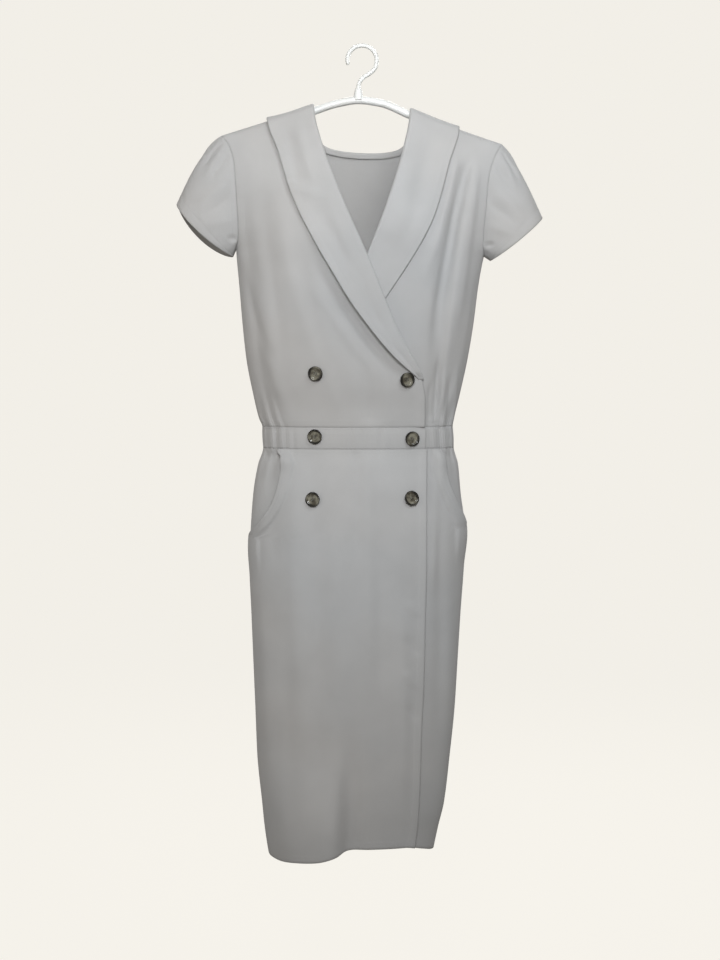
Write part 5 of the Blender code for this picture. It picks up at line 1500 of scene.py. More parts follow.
@dataclass
class Sleeve(ClothPiece):
    """A set-in sleeve from the armhole seam to its hem."""

    front: FrontBodice | None = None
    back: BackBodice | None = None
    hem_top: tuple[float, float] = (0.0, 0.0)
    hem_low: tuple[float, float] = (0.0, 0.0)
    half_depth: float = 36.0
    front_hang: float = 0.0
    back_hang: float = 0.0
    crown: float = 5.0
    gathers: int = 5
    gather_depth: float = 1.6
    gather_reach: float = 0.34
    fullness: float = 3.0
    head_way: tuple[float, float] = (0.82, 0.57)
    hang_power: float = 1.5
    armhole_gap: float = 0.5
    stations: int = 44
    closed_round: bool = True

    def seam(self) -> tuple[np.ndarray, np.ndarray, int]:
        """The armhole's edge, outer and inner face, and how many points are the front's."""
        _, count = shoulder_drops(self.front.underarm_drop, self.front.usual_length)
        front_outer, front_inner = self.front.grids()
        back_outer, back_inner = self.back.grids()
        column = -1 if self.side is Side.RIGHT else 0
        faces = []
        for front, back in ((front_outer, back_outer), (front_inner, back_inner)):
            edge = np.concatenate([front[:count, 0], back[:count, column][::-1][1:-1]])
            edge[[0, count - 1], 1] = 0.0
            faces.append(edge)
        return faces[0], faces[1], count

    def grids(self) -> tuple[np.ndarray, np.ndarray]:
        """The outer and the inner grid of points."""
        way = float(self.side.value)
        outer, inner, count = self.seam()
        outward = unit(np.cross(unit(np.roll(outer, -1, axis=0) - np.roll(outer, 1, axis=0)), unit(outer - inner)))
        if outward[0, 0] * way < 0.0:
            outward = -outward
        start_outer = outer + self.armhole_gap * outward
        start_inner = inner + self.armhole_gap * outward
        high, low = outer[:, 2].max(), outer[:, 2].min()
        psi = np.arccos(1.0 - 2.0 * np.clip((high - outer[:, 2]) / (high - low), 0.0, 1.0))
        face = np.where(np.arange(len(outer)) < count, -1.0, 1.0)
        chord = np.array([self.hem_low[0] - self.hem_top[0], 0.0, self.hem_low[1] - self.hem_top[1]])
        down = unit(np.array([way * abs(chord[2]), 0.0, -abs(chord[0])]))
        hang = np.where(face < 0.0, self.front_hang, self.back_hang) * np.sin(psi) ** self.hang_power
        across = 0.5 - 0.5 * np.cos(psi)
        hem = np.array([self.hem_top[0], 0.0, self.hem_top[1]]) + across[:, None] * chord + hang[:, None] * down
        hem[:, 1] = face * self.half_depth * np.sin(psi) ** 0.9
        up = unit(np.array([way * self.head_way[0], 0.0, self.head_way[1]]))
        head = np.clip(np.cos(psi), 0.0, 1.0) ** 1.5
        rows = []
        for t in np.linspace(0.0, 1.0, self.stations):
            row = start_outer * (1.0 - t) + hem * t
            row = row + up * (self.crown * math.sin(math.pi * t ** 0.8) * head)[:, None]
            row[:, 1] += face * self.fullness * math.sin(math.pi * t) * np.sin(psi)
            gather = self.gather_depth * math.sin(math.pi * min(t / self.gather_reach, 1.0))
            row = row + up * (gather * head * np.cos(2.0 * self.gathers * psi * face))[:, None]
            rows.append(row)
        grid = np.array(rows)
        round_way = np.roll(grid, -1, axis=1) - np.roll(grid, 1, axis=1)
        out = unit(np.cross(round_way, np.gradient(grid, axis=0)))
        if float(((grid - grid.mean(axis=1, keepdims=True)) * out).sum(axis=-1).mean()) < 0.0:
            out = -out
        grid = grid + self.relief(psi * face, self.stations)[..., None] * out
        inner_grid = grid - self.form.cloth * out
        inner_grid[0] = start_inner
        turn = len(outer) // 2
        return np.roll(grid, -turn, axis=1), np.roll(inner_grid, -turn, axis=1)

    def relief(self, psi: np.ndarray, stations: int) -> np.ndarray:
        """Soft creases of the sleeve, from its head and from the underarm.

        Args:
            psi: Turn round the sleeve, 0 at the head, negative at the front.
            stations: Number of rows from the armhole to the hem.

        Returns:
            Outward depth of each point.
        """
        t = np.linspace(0.0, 1.0, stations)[:, None]
        total = np.zeros((stations, len(psi)))
        for at, low, centre, drift, depth, half in self.creases:
            along = np.clip((t - at) / (low - at), 0.0, 1.0)
            line = centre + drift * along
            total = total + depth * np.sin(math.pi * along) * np.exp(-(((psi[None, :] - line) / half) ** 2))
        fold = np.exp(-(((t - 0.86) / 0.022) ** 2))
        total = total - 0.35 * fold * (1.0 + 0.5 * np.sin(9.0 * psi[None, :]))
        return total * smooth_step(0.0, 0.08, t)

    # creases: start and end from armhole 0 to hem 1, turn, drift, depth, half width
    creases: Table = (
        (0.02, 0.45, -0.42, -0.1, -2.2, 0.08),
        (0.02, 0.5, -0.62, -0.12, 2.0, 0.08),
        (0.02, 0.4, -0.82, -0.1, -1.8, 0.07),
        (0.05, 0.8, -1.35, 0.3, 2.2, 0.12),
        (0.05, 0.8, -1.62, 0.25, -2.0, 0.1),
        (0.02, 0.9, -2.1, 0.5, 1.8, 0.14),
        (0.02, 0.6, -2.55, 0.3, -2.2, 0.1),
        (0.02, 0.7, 0.6, 0.2, -1.3, 0.12),
        (0.05, 0.9, 1.4, 0.3, 1.3, 0.18),
        (0.05, 0.9, 2.2, -0.3, -1.4, 0.16),
    )


@dataclass
class WaistBand(ClothPiece):
    """One piece of the elastic casing at the waist."""

    skirt_edge: SmoothLine | None = None
    hidden_edge: float = -84.0
    rows: int = 15
    columns: int = 150
    pillow: float = 0.9

    def grids(self) -> tuple[np.ndarray, np.ndarray]:
        """The outer and the inner grid of points."""
        form = self.form
        share = np.linspace(0.0, 1.0, self.rows)[:, None]
        z = form.band_top + (form.band_end - form.band_top) * share
        across = np.linspace(0.0, 1.0, self.columns)[None, :]
        if self.side is Side.BACK:
            turn = QUARTER_TURN + math.pi * across + 0.0 * z
            offset = 0.0 * turn
        else:
            end_x = self.skirt_edge(z) - 1.6 if self.side is Side.RIGHT else self.hidden_edge + 0.0 * z
            turn = self.side.value * QUARTER_TURN * (1.0 - across) + form.turn_at(end_x, z) * across
            x = form.x_at(turn, z)
            offset = form.lap(x, z) if self.side is Side.RIGHT else 0.0 * x
        return form.walls(turn, z + 0.0 * turn, offset + self.pillow * np.sin(math.pi * share), self.side)


@dataclass
class FrontSkirt(ClothPiece):
    """One front of the skirt, with its slanted pocket edge."""

    rows: int = 150
    columns: int = 108
    pocket_end: float = -659.0
    pocket_gape: float = 4.0
    gape_reach: float = 14.0
    mouth: float = -556.0
    mouth_reach: float = 11.0
    mouth_gape: float = 0.0
    pocket_under: float = 10.0
    over: tuple[float, float] = (1.5, 7.0)
    below: tuple[float, float] = (12.0, 60.0)
    hidden_edge: float = -84.0
    edge_stand: float = 1.5
    edge_reach: float = 14.0
    drop_end: float = 545.0
    pocket: Table = ()
    # hem: x, height
    hem: Table = (
        (-140.0, -1106.0), (-118.0, -1106.0), (-90.0, -1103.0), (-60.0, -1099.0), (-38.0, -1093.0),
        (-20.0, -1088.0), (0.0, -1087.0), (60.0, -1088.0), (84.0, -1094.0), (104.0, -1103.0),
    )
    # front edge of the right front: height, x
    front_edge: Table = (
        (-540.0, 87.0), (-607.0, 86.0), (-708.0, 85.8), (-757.0, 84.6), (-855.0, 82.9), (-921.0, 80.2),
        (-987.0, 78.6), (-1054.0, 75.6), (-1100.0, 70.0),
    )

    def pocket_lift(self, x: np.ndarray, z: np.ndarray) -> np.ndarray:
        """How far the skirt stands off at its slanted pocket edge."""
        form = self.form
        reach = np.abs(x - SmoothLine(self.pocket)(z))
        near = np.exp(-((reach / self.gape_reach) ** 2))
        along = np.clip((z - self.pocket_end) / (form.skirt_top - self.pocket_end), 0.0, 1.0)
        gape = self.pocket_gape * np.sqrt(np.clip(4.0 * along * (1.0 - along), 0.0, 1.0)) * near
        gape = gape + self.mouth_gape * near * np.exp(-(((z - self.mouth) / self.mouth_reach) ** 2))
        over = 1.0 - smooth_step(self.pocket_under + self.over[0], self.pocket_under + self.over[1], reach)
        below = smooth_step(self.below[0] - self.pocket_end, self.below[1] - self.pocket_end, -z)
        return (form.solid_cloth + 1.5) * over * (1.0 - below) + gape

    def grids(self) -> tuple[np.ndarray, np.ndarray]:
        """The outer and the inner grid of points."""
        form = self.form
        right = self.side is Side.RIGHT
        pocket = SmoothLine(self.pocket)
        lap_edge = SmoothLine(self.front_edge)
        hem = SmoothLine(self.hem)
        drops = self.drop_end * np.linspace(0.0, 1.0, self.rows)[:, None]
        base = form.skirt_top - drops
        share = np.linspace(0.0, 1.0, self.columns)[None, :]
        side = np.where(base > self.pocket_end, form.turn_at(pocket(base), base), self.side.value * QUARTER_TURN)
        z = base + 0.0 * share
        for _ in range(4):
            inner_edge = form.turn_at(lap_edge(z), z) if right else form.turn_at(self.hidden_edge + 0.0 * z, z)
            turn = side + (inner_edge - side) * share
            low = hem(form.x_at(turn, z)[-1:])
            z = form.skirt_top - drops - (base[-1] - low) * (drops / self.drop_end) ** 2
        x = form.x_at(turn, z)
        offset = self.pocket_lift(x, z)
        if right:
            near = 1.0 - smooth_step(0.0, self.edge_reach, lap_edge(z) - x)
            offset = np.maximum(form.lap(x, z), offset) + self.edge_stand * near
        return form.walls(turn, z, offset, self.side)


@dataclass
class BackSkirt(ClothPiece):
    """The back of the skirt."""

    rows: int = 130
    columns: int = 190
    hem: float = -1093.0
    hem_at_sides: float = -1103.5

    def grids(self) -> tuple[np.ndarray, np.ndarray]:
        """The outer and the inner grid of points."""
        turn = QUARTER_TURN + math.pi * np.linspace(0.0, 1.0, self.columns)[None, :]
        hem = self.hem + (self.hem_at_sides - self.hem) * np.sin(turn) ** 4
        z = self.form.skirt_top + (hem - self.form.skirt_top) * np.linspace(0.0, 1.0, self.rows)[:, None]
        return self.form.walls(turn + 0.0 * z, z, 0.0 * z, Side.BACK)


@dataclass
class PocketSide(ClothPiece):
    """The cloth between the slanted pocket edge and the side seam."""

    skirt: FrontSkirt | None = None
    rows: int = 42
    columns: int = 24
    shorter: float = 2.0
    sink: float = 3.0

    def grids(self) -> tuple[np.ndarray, np.ndarray]:
        """The outer and the inner grid of points."""
        form = self.form
        z = np.linspace(form.skirt_top, self.skirt.pocket_end - self.shorter, self.rows)[:, None]
        inner_x = SmoothLine(self.skirt.pocket)(z) - self.side.value * self.skirt.pocket_under
        share = np.linspace(0.0, 1.0, self.columns)[None, :]
        turn = self.side.value * QUARTER_TURN * (1.0 - share) + form.turn_at(inner_x, z) * share
        sunk = -self.sink * smooth_step(0.2, 0.75, share) * smooth_step(0.0, 12.0, form.skirt_top - z)
        return form.walls(turn, z + 0.0 * turn, sunk + 0.0 * turn, self.side)


def deselect_all() -> None:
    """Leaves nothing selected."""
    if bpy.context.object and bpy.context.object.mode != "OBJECT":
        bpy.ops.object.mode_set(mode="OBJECT")
    for item in bpy.context.selected_objects:
        item.select_set(False)


def pick(item: bpy.types.Object) -> None:
    """Selects one object alone and makes it active."""
    deselect_all()
    item.select_set(True)
    bpy.context.view_layer.objects.active = item


def apply_modifiers(item: bpy.types.Object) -> None:
    """Applies all modifiers of an object, in order."""
    pick(item)
    for modifier in list(item.modifiers):
        bpy.ops.object.modifier_apply(modifier=modifier.name)


def select_faces(item: bpy.types.Object, keep: object) -> None:
    """In edit mode, selects the faces for which keep(face) holds, and no others.

    Args:
        item: The object in edit mode.
        keep: A test of one bmesh face.
    """
    bpy.ops.mesh.select_mode(type="FACE")
    bpy.ops.mesh.select_all(action="DESELECT")
    shape = bmesh.from_edit_mesh(item.data)
    for face in shape.faces:
        if keep(face):
            face.select = True
    shape.select_flush(True)
    bmesh.update_edit_mesh(item.data)


@dataclass
class Buttons:
    """Six dark four-hole buttons with a rolled rim, sewn on in two columns of three."""

    form: DressForm
    radius: float = 10.2
    height: float = 3.3
    rim: float = 2.5
    dish: float = 1.5
    hole_radius: float = 0.9
    hole_reach: float = 1.37
    lift: float = 0.5
    sides: int = 48
    # place on the right front: node, x, z, turn in degrees
    places: tuple[tuple[str, float, float, float], ...] = (
        ("button_top_right", -61.2, -438.0, -20.0),
        ("button_top_left", 59.0, -446.2, 14.0),
        ("button_waist_right", -62.8, -523.5, 76.0),
        ("button_waist_left", 66.6, -526.5, -38.0),
        ("button_low_right", -65.6, -607.3, 62.0),
        ("button_low_left", 65.4, -606.0, 30.0),
    )

    def model(self) -> bpy.types.Object:
        """One button at the origin, facing +Z: turned rim, dish, rounded edges and four holes."""
        deselect_all()
        size = MILLIMETRE
        bpy.ops.mesh.primitive_cylinder_add(vertices=self.sides, radius=self.radius * size,
                                            depth=self.height * size, location=(0.0, 0.0, 0.5 * self.height * size))
        item = bpy.context.object
        item.name = "button_pattern"
        bpy.ops.object.transform_apply(location=True, rotation=True, scale=True)
        bpy.ops.object.mode_set(mode="EDIT")
        select_faces(item, lambda face: face.normal.z > 0.9)
        bpy.ops.mesh.inset(thickness=self.rim * size)
        bpy.ops.mesh.inset(thickness=0.9 * size)
        bpy.ops.transform.translate(value=(0.0, 0.0, -self.dish * size))
        bpy.ops.mesh.inset(thickness=1.6 * size)
        bpy.ops.transform.translate(value=(0.0, 0.0, -0.15 * size))
        select_faces(item, lambda face: face.normal.z < -0.9)
        bpy.ops.transform.resize(value=(0.8, 0.8, 1.0))
        bpy.ops.object.mode_set(mode="OBJECT")
        soft = item.modifiers.new("soft_edges", "BEVEL")
        soft.width = 0.55 * size
        soft.segments = 3
        soft.limit_method = "ANGLE"
        soft.angle_limit = math.radians(25.0)
        apply_modifiers(item)
        for across, along in ((1, 1), (1, -1), (-1, 1), (-1, -1)):
            deselect_all()
            spot = (across * self.hole_reach * size, along * self.hole_reach * size, 1.0 * size)
            bpy.ops.mesh.primitive_cylinder_add(vertices=16, radius=self.hole_radius * size, depth=9.0 * size,
                                                location=spot)
            drill = bpy.context.object
            cut = item.modifiers.new("hole", "BOOLEAN")
            cut.operation = "DIFFERENCE"
            cut.solver = "EXACT"
            cut.object = drill
            apply_modifiers(item)
            bpy.data.objects.remove(drill)
        pick(item)
        bpy.ops.object.shade_smooth_by_angle(angle=math.radians(40.0))
        out = item.data.attributes.new("out", "FLOAT", "POINT")
        reach = []
        for vertex in item.data.vertices:
            # Painted shade: the value grows towards the pattern's two sides along its x axis, so the dark rim is
            # painted wider there as shaded crescents; the axis turns with each button's set angle.
            radius = max(math.hypot(vertex.co.x, vertex.co.y), 1e-9)
            aside = abs(vertex.co.x) / radius
            reach.append(min(1.0, radius / (self.radius * size)) * (0.74 + 0.26 * aside ** 2))
        out.data.foreach_set("value", np.array(reach, np.float32))
        return item

    def thread_model(self) -> bpy.types.Object:
        """Two short bars of thread between the holes."""
        deselect_all()
        size = MILLIMETRE
        bars = []
        for across in (-1.0, 1.0):
            data = bpy.data.curves.new("bar", "CURVE")
            data.dimensions = "3D"
            data.bevel_depth = 0.42 * size
            data.bevel_resolution = 2
            data.use_fill_caps = True
            line = data.splines.new("POLY")
            spots = ((-1.37, 0.9), (-1.2, 1.75), (-0.7, 2.15), (0.0, 2.25), (0.7, 2.15), (1.2, 1.75), (1.37, 0.9))
            line.points.add(len(spots) - 1)
            for point, (y, z) in zip(line.points, spots):
                point.co = (across * self.hole_reach * size, y * size, z * size, 1.0)
            bar = bpy.data.objects.new("bar", data)
            bpy.context.scene.collection.objects.link(bar)
            bars.append(bar)
        deselect_all()
        for bar in bars:
            bar.select_set(True)
        bpy.context.view_layer.objects.active = bars[0]
        bpy.ops.object.convert(target="MESH")
        bpy.ops.object.join()
        item = bpy.context.object
        item.name = "thread_pattern"
        bpy.ops.object.shade_smooth()
        return item

    def build(self, horn: bpy.types.Material, thread: bpy.types.Material) -> list[bpy.types.Object]:
        """Places a copy of the button and of its thread at each place.

        Args:
            horn: Material of the buttons.
            thread: Material of the thread.

        Returns:
            The buttons.
        """
        pattern, sewing = self.model(), self.thread_model()
        made = []
        for node, x, z, degrees in self.places:
            turn = self.form.turn_at(x, z)
            _, normal = self.form.face(turn, z)
            seat, _ = self.form.walls(turn, z, self.form.lap(np.array(x), np.array(z)), Side.RIGHT)
            seat = (seat + normal * self.lift) * MILLIMETRE
            side = Vector(unit(np.cross(np.array([0.0, 0.0, 1.0]), normal)))
            out = Vector(normal)
            up = out.cross(side)
            rotation = Matrix((side, up, out)).transposed().to_4x4()
            place = Matrix.Translation(Vector(seat)) @ rotation @ Matrix.Rotation(math.radians(degrees), 4, "Z")
            for source, name, material in ((pattern, node + "_horn", horn), (sewing, node + "_thread", thread)):
                copy = bpy.data.objects.new(name, source.data.copy())
                copy.data.transform(place)
                copy.data.materials.clear()
                copy.data.materials.append(material)
                bpy.context.scene.collection.objects.link(copy)
                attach(copy, BODY)
                if source is pattern:
                    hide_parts(node)
                    made.append(copy)
            log.info("%s: %d faces", node, len(pattern.data.polygons))
        bpy.data.objects.remove(pattern)
        bpy.data.objects.remove(sewing)
        return made


@dataclass
class Hanger:
    """A plain one-piece plastic hanger: arched bar, boss and hook."""

    form: DressForm
    bar_ends: tuple[float, float] = (-184.0, 182.0)
    tip: float = 4.0
    hook_radius: float = 2.8
    hook_bend: float = 20.0
    hook_x: float = -5.0
    stem: Table = ((-5.0, -70.0), (-5.0, -54.0), (-3.6, -47.0), (1.5, -40.0))
    turns: tuple[float, ...] = (-62, -40, -18, 6, 30, 54, 78, 90, 102, 126, 150, 174, 196)
    boss_radii: tuple[float, float] = (7.4, 4.4)
    boss_height: float = 15.0
    boss_middle: float = -62.5

    def rod(self, name: str, points: list[tuple[float, float, float]], radius: float,
            shares: list[float]) -> bpy.types.Object:
        """A round rod along points.

        Args:
            name: Name of the piece.
            points: Its middle line.
            radius: Its radius.
            shares: Share of the radius at each point.

        Returns:
            The rod as a mesh object.
        """
        data = bpy.data.curves.new(name, "CURVE")
        data.dimensions = "3D"
        data.bevel_depth = radius * MILLIMETRE
        data.bevel_resolution = 6
        data.use_fill_caps = True
        line = data.splines.new("POLY")
        line.points.add(len(points) - 1)
        for spot, (x, y, z), share in zip(line.points, points, shares):
            spot.co = (x * MILLIMETRE, y * MILLIMETRE, z * MILLIMETRE, 1.0)
            spot.radius = share
        item = bpy.data.objects.new(name, data)
        bpy.context.scene.collection.objects.link(item)
        pick(item)
        bpy.ops.object.convert(target="MESH")
        return bpy.context.object

    def hook_path(self) -> list[tuple[float, float, float]]:
        """Smooth middle line of the stem and the hook."""
        turn_height = self.hook_radius - self.hook_bend
        rough = [(x, z) for x, z in self.stem]
        for degrees in self.turns:
            angle = math.radians(degrees)
            rough.append((self.hook_bend * math.cos(angle), turn_height + self.hook_bend * math.sin(angle)))
        spots = np.array(rough)
        way = np.concatenate([[0.0], np.cumsum(np.linalg.norm(np.diff(spots, axis=0), axis=1))])
        even = np.linspace(0.0, way[-1], 90)
        x = SmoothLine(tuple(zip(way, spots[:, 0])))(even)
        z = SmoothLine(tuple(zip(way, spots[:, 1])))(even)
        return [(float(a), 0.0, float(b)) for a, b in zip(x, z)]

    def build(self, plastic: bpy.types.Material) -> bpy.types.Object:
        """Makes the hanger and dresses it.

        Args:
            plastic: Its material.

        Returns:
            The hanger's object.
        """
        low, high = self.bar_ends
        ends = np.array([0.45, 0.62, 0.78, 0.9, 0.97])
        reach = np.array([4.0, 3.6, 3.0, 2.0, 1.0])
        xs = np.concatenate([low - reach, np.linspace(low, high, 150), high + reach[::-1]])
        shares = np.concatenate([ends, np.ones(150), ends[::-1]])
        path = [(float(x), 0.0, float(self.form.bar_height(x))) for x in xs]
        bar = self.rod("hanger_bar", path, self.form.bar_radius, list(shares))
        hook_line = self.hook_path()
        hook_shares = [1.0] * (len(hook_line) - 3) + [0.96, 0.88, 0.7]
        hook = self.rod("hanger_hook", hook_line, self.hook_radius, hook_shares)
        deselect_all()
        bpy.ops.mesh.primitive_cone_add(vertices=40, radius1=self.boss_radii[0] * MILLIMETRE,
                                        radius2=self.boss_radii[1] * MILLIMETRE,
                                        depth=self.boss_height * MILLIMETRE,
                                        location=(self.hook_x * MILLIMETRE, 0.0, self.boss_middle * MILLIMETRE))
        boss = bpy.context.object
        bpy.ops.object.transform_apply(location=True, rotation=True, scale=True)
        bpy.ops.object.mode_set(mode="EDIT")
        select_faces(boss, lambda face: face.normal.z > 0.9)
        bpy.ops.mesh.inset(thickness=0.8 * MILLIMETRE)
        bpy.ops.transform.translate(value=(0.0, 0.0, 0.9 * MILLIMETRE))
        bpy.ops.object.mode_set(mode="OBJECT")
        soft = boss.modifiers.new("soft_edges", "BEVEL")
        soft.width = 0.5 * MILLIMETRE
        soft.segments = 2
        apply_modifiers(boss)
        for other in (boss, hook):
            join = bar.modifiers.new("join", "BOOLEAN")
            join.operation = "UNION"
            join.solver = "EXACT"
            join.object = other
            apply_modifiers(bar)
            bpy.data.objects.remove(other)
        bar.name = "hanger_plastic"
        pick(bar)
        bpy.ops.object.shade_smooth_by_angle(angle=math.radians(35.0))
        bar.data.materials.clear()
        bar.data.materials.append(plastic)
        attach(bar, BODY)
        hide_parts("hanger")
        log.info("hanger: %d faces", len(bar.data.polygons))
        return bar


@dataclass
class Dress:
    """All cut pieces of the dress, in the order in which they are sewn."""

    form: DressForm
    pieces: list[ClothPiece] = field(default_factory=list)
    pocket_right: Table = (
        (-540.0, -112.5), (-549.0, -110.0), (-561.0, -106.0), (-581.0, -109.5), (-601.0, -115.0),
        (-619.0, -122.6), (-634.0, -132.4), (-646.0, -142.0), (-657.0, -152.0), (-661.0, -154.4),
    )
    pocket_left: Table = (
        (-540.0, 106.6), (-565.0, 109.9), (-584.0, 114.6), (-601.0, 120.6), (-616.0, 127.2),
        (-631.0, 134.6), (-644.0, 140.6), (-649.0, 142.4),
    )

    def __post_init__(self) -> None:
        """Sets out the pieces."""
        form = self.form
        back = BackBodice("bodice_back", Side.BACK, form, Cut(0.47, 0.44, 0.168))
        right = FrontBodice("bodice_front_right", Side.RIGHT, form, Cut(0.3, 0.45, 0.088))
        left = FrontBodice("bodice_front_left", Side.LEFT, form, Cut(0.3, 0.45, 0.082))
        skirt_right = FrontSkirt("skirt_front_right", Side.RIGHT, form, Cut(0.29, 0.56, 0.15),
                                 pocket=self.pocket_right, pocket_end=-659.0, mouth_gape=4.5,
                                 stitched=(("column", 6.0, False),))
        skirt_left = FrontSkirt("skirt_front_left", Side.LEFT, form, Cut(0.27, 0.56, 0.138),
                                pocket=self.pocket_left, pocket_end=-647.0, mouth_gape=2.0)
        edge = SmoothLine(skirt_right.front_edge)
        held = Held.GATHERED
        band_stitches = (("row", 2.0, False), ("row", 2.0, True))
        self.pieces = [
            back, right, left,
            NeckBinding("back_neck_binding", Side.BACK, form, Cut(0.024, 0.215, 0.0046, Held.FOLDED), back=back),
            Lapel("lapel_right", Side.RIGHT, form, Cut(0.09, 0.42, 0.0245, Held.FOLDED), front=right),
            Lapel("lapel_left", Side.LEFT, form, Cut(0.09, 0.42, 0.0245, Held.FOLDED), front=left),
            Sleeve("sleeve_right", Side.RIGHT, form, Cut(0.36, 0.14, 0.0225), front=right, back=back,
                   hem_top=(-252.0, -209.5), hem_low=(-175.5, -280.0), half_depth=38.0, front_hang=7.0,
                   back_hang=14.0, crown=7.0, stitched=(("row", 13.0, True),)),
            Sleeve("sleeve_left", Side.LEFT, form, Cut(0.36, 0.14, 0.0205), front=left, back=back,
                   hem_top=(245.5, -228.0), hem_low=(175.0, -286.0), half_depth=36.0, front_hang=3.0,
                   back_hang=-1.0, crown=4.0, stitched=(("row", 13.0, True),)),
            WaistBand("waistband_back", Side.BACK, form, Cut(0.42, 0.03, 0.0122, held), columns=190,
                      skirt_edge=edge, stitched=band_stitches),
            WaistBand("waistband_front_right", Side.RIGHT, form, Cut(0.27, 0.03, 0.0078, held),
                      skirt_edge=edge, stitched=band_stitches),
            WaistBand("waistband_front_left", Side.LEFT, form, Cut(0.25, 0.03, 0.0073, held),
                      skirt_edge=edge, stitched=band_stitches),
            BackSkirt("skirt_back", Side.BACK, form, Cut(0.46, 0.56, 0.238)),
            skirt_right, skirt_left,
            PocketSide("pocket_side_right", Side.RIGHT, form, Cut(0.08, 0.125, 0.0078), skirt=skirt_right),
            PocketSide("pocket_side_left", Side.LEFT, form, Cut(0.07, 0.11, 0.0054), skirt=skirt_left),
        ]

    def build(self, cloth: bpy.types.Material, thread: bpy.types.Material) -> None:
        """Makes every piece."""
        for piece in self.pieces:
            piece.build(cloth, thread)


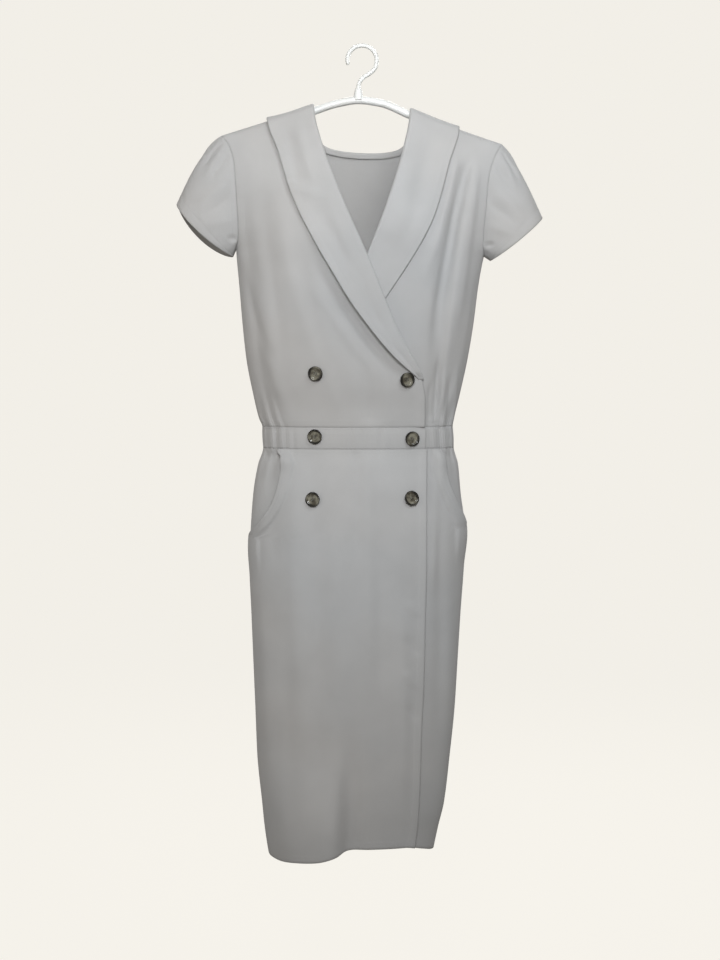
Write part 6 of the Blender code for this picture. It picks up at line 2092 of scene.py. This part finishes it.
@dataclass
class Studio:
    """The room, the lights and the camera."""

    floor_height: float = -1.46
    room_radius: float = 7.0
    room_height: float = 9.0
    floor_bend: float = 2.4
    camera_place: tuple[float, float, float] = (-0.00276, -2.1932, -0.4134)
    camera_tilt: float = 4.5
    lens: float = 59.78
    sensor: float = 36.0
    world: float = 0.21
    world_colour: Colour = (1.0, 0.95, 0.88)

    def backdrop(self) -> bpy.types.Object:
        """A round room whose floor bends up into its wall."""
        deselect_all()
        bpy.ops.mesh.primitive_cylinder_add(vertices=96, radius=self.room_radius, depth=self.room_height,
                                            location=(0.0, 0.0, self.floor_height + 0.5 * self.room_height))
        item = bpy.context.object
        item.name = "backdrop"
        bpy.ops.object.transform_apply(location=True, rotation=True, scale=True)
        bpy.ops.object.mode_set(mode="EDIT")
        bpy.ops.mesh.select_mode(type="EDGE")
        bpy.ops.mesh.select_all(action="DESELECT")
        shape = bmesh.from_edit_mesh(item.data)
        for edge in shape.edges:
            edge.select = all(abs(vert.co.z - self.floor_height) < 0.01 for vert in edge.verts)
        bmesh.update_edit_mesh(item.data)
        bpy.ops.mesh.bevel(offset=self.floor_bend, segments=20)
        bpy.ops.mesh.select_all(action="SELECT")
        bpy.ops.mesh.flip_normals()
        bpy.ops.object.mode_set(mode="OBJECT")
        bpy.ops.object.shade_smooth()
        item.data.materials.append(BackdropFinish().material())
        item.visible_diffuse = False
        item.visible_glossy = False
        item.visible_shadow = False
        return item

    def light(self, name: str, place: tuple[float, float, float], aim: tuple[float, float, float], size: float,
              power: float, colour: Colour) -> None:
        """A soft square lamp.

        Args:
            name: Its name.
            place: Where it stands.
            aim: Where it points.
            size: Length of its sides.
            power: Its power in watts.
            colour: Its colour.
        """
        data = bpy.data.lights.new(name, "AREA")
        data.size = size
        data.energy = power
        data.color = colour
        item = bpy.data.objects.new(name, data)
        item.location = place
        item.rotation_euler = (Vector(aim) - Vector(place)).to_track_quat("-Z", "Y").to_euler()
        bpy.context.scene.collection.objects.link(item)

    def spot(self, name: str, place: tuple[float, float, float], aim: tuple[float, float, float],
             cone: float, power: float, colour: Colour) -> None:
        """A soft round beam that fades towards the edge of its cone.

        Args:
            name: Its name.
            place: Where it stands.
            aim: Where it points.
            cone: Full angle of the cone in degrees.
            power: Its power in watts.
            colour: Its colour.
        """
        data = bpy.data.lights.new(name, "SPOT")
        data.spot_size = math.radians(cone)
        data.spot_blend = 1.0
        data.shadow_soft_size = 0.28
        data.energy = power
        data.color = colour
        item = bpy.data.objects.new(name, data)
        item.location = place
        item.rotation_euler = (Vector(aim) - Vector(place)).to_track_quat("-Z", "Y").to_euler()
        bpy.context.scene.collection.objects.link(item)

    def camera(self) -> None:
        """The camera at the photograph's angle."""
        data = bpy.data.cameras.new("camera")
        data.sensor_width = self.sensor
        data.lens = self.lens
        item = bpy.data.objects.new("camera", data)
        item.location = self.camera_place
        item.rotation_euler = (math.radians(90.0 - self.camera_tilt), 0.0, 0.0)
        bpy.context.scene.collection.objects.link(item)
        bpy.context.scene.camera = item

    def build(self) -> None:
        """Sets up everything that isn't the dress."""
        world = bpy.data.worlds.new("studio")
        bpy.context.scene.world = world
        world.use_nodes = True
        sky = world.node_tree.nodes["Background"]
        sky.inputs["Color"].default_value = (*self.world_colour, 1.0)
        sky.inputs["Strength"].default_value = self.world
        self.backdrop()
        self.light("key", (0.5, -0.78, 0.5), (0.0, 0.0, -0.25), 0.4, 4.4, (0.93, 0.97, 1.0))
        self.light("left", (-1.3, -0.8, -0.1), (0.0, 0.0, -0.5), 0.6, 2.4, (1.0, 0.95, 0.88))
        self.spot("front", (-0.08, -2.05, 0.35), (0.0, 0.0, -0.47), 47.0, 98.0, (0.98, 0.99, 1.0))
        self.spot("low", (0.0, -2.1, -0.9), (0.0, 0.0, -0.72), 28.0, 9.0, (1.0, 0.95, 0.88))
        self.spot("neck", (0.0, -2.15, 0.15), (0.0, 0.0, 0.1), 20.0, 92.0, (0.93, 0.97, 1.0))
        self.light("behind", (0.3, 1.9, 0.6), (0.0, 0.0, -0.4), 1.2, 34.0, (1.0, 0.98, 0.95))
        bpy.context.scene.view_settings.view_transform = "Standard"
        self.camera()


def main() -> None:
    """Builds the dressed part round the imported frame."""
    logging.basicConfig(level=logging.INFO, format="%(message)s")
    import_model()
    form = DressForm()
    cloth = CrepeFinish().material()
    thread = ThreadFinish("cloth_thread", (0.5, 0.5, 0.52)).material()
    dark_thread = ThreadFinish("button_thread", (0.12, 0.115, 0.1)).material()
    Dress(form).build(cloth, thread)
    Buttons(form).build(HornFinish().material(), dark_thread)
    Hanger(form).build(PlasticFinish().material())
    Studio().build()


if __name__ == "__main__":
    main()
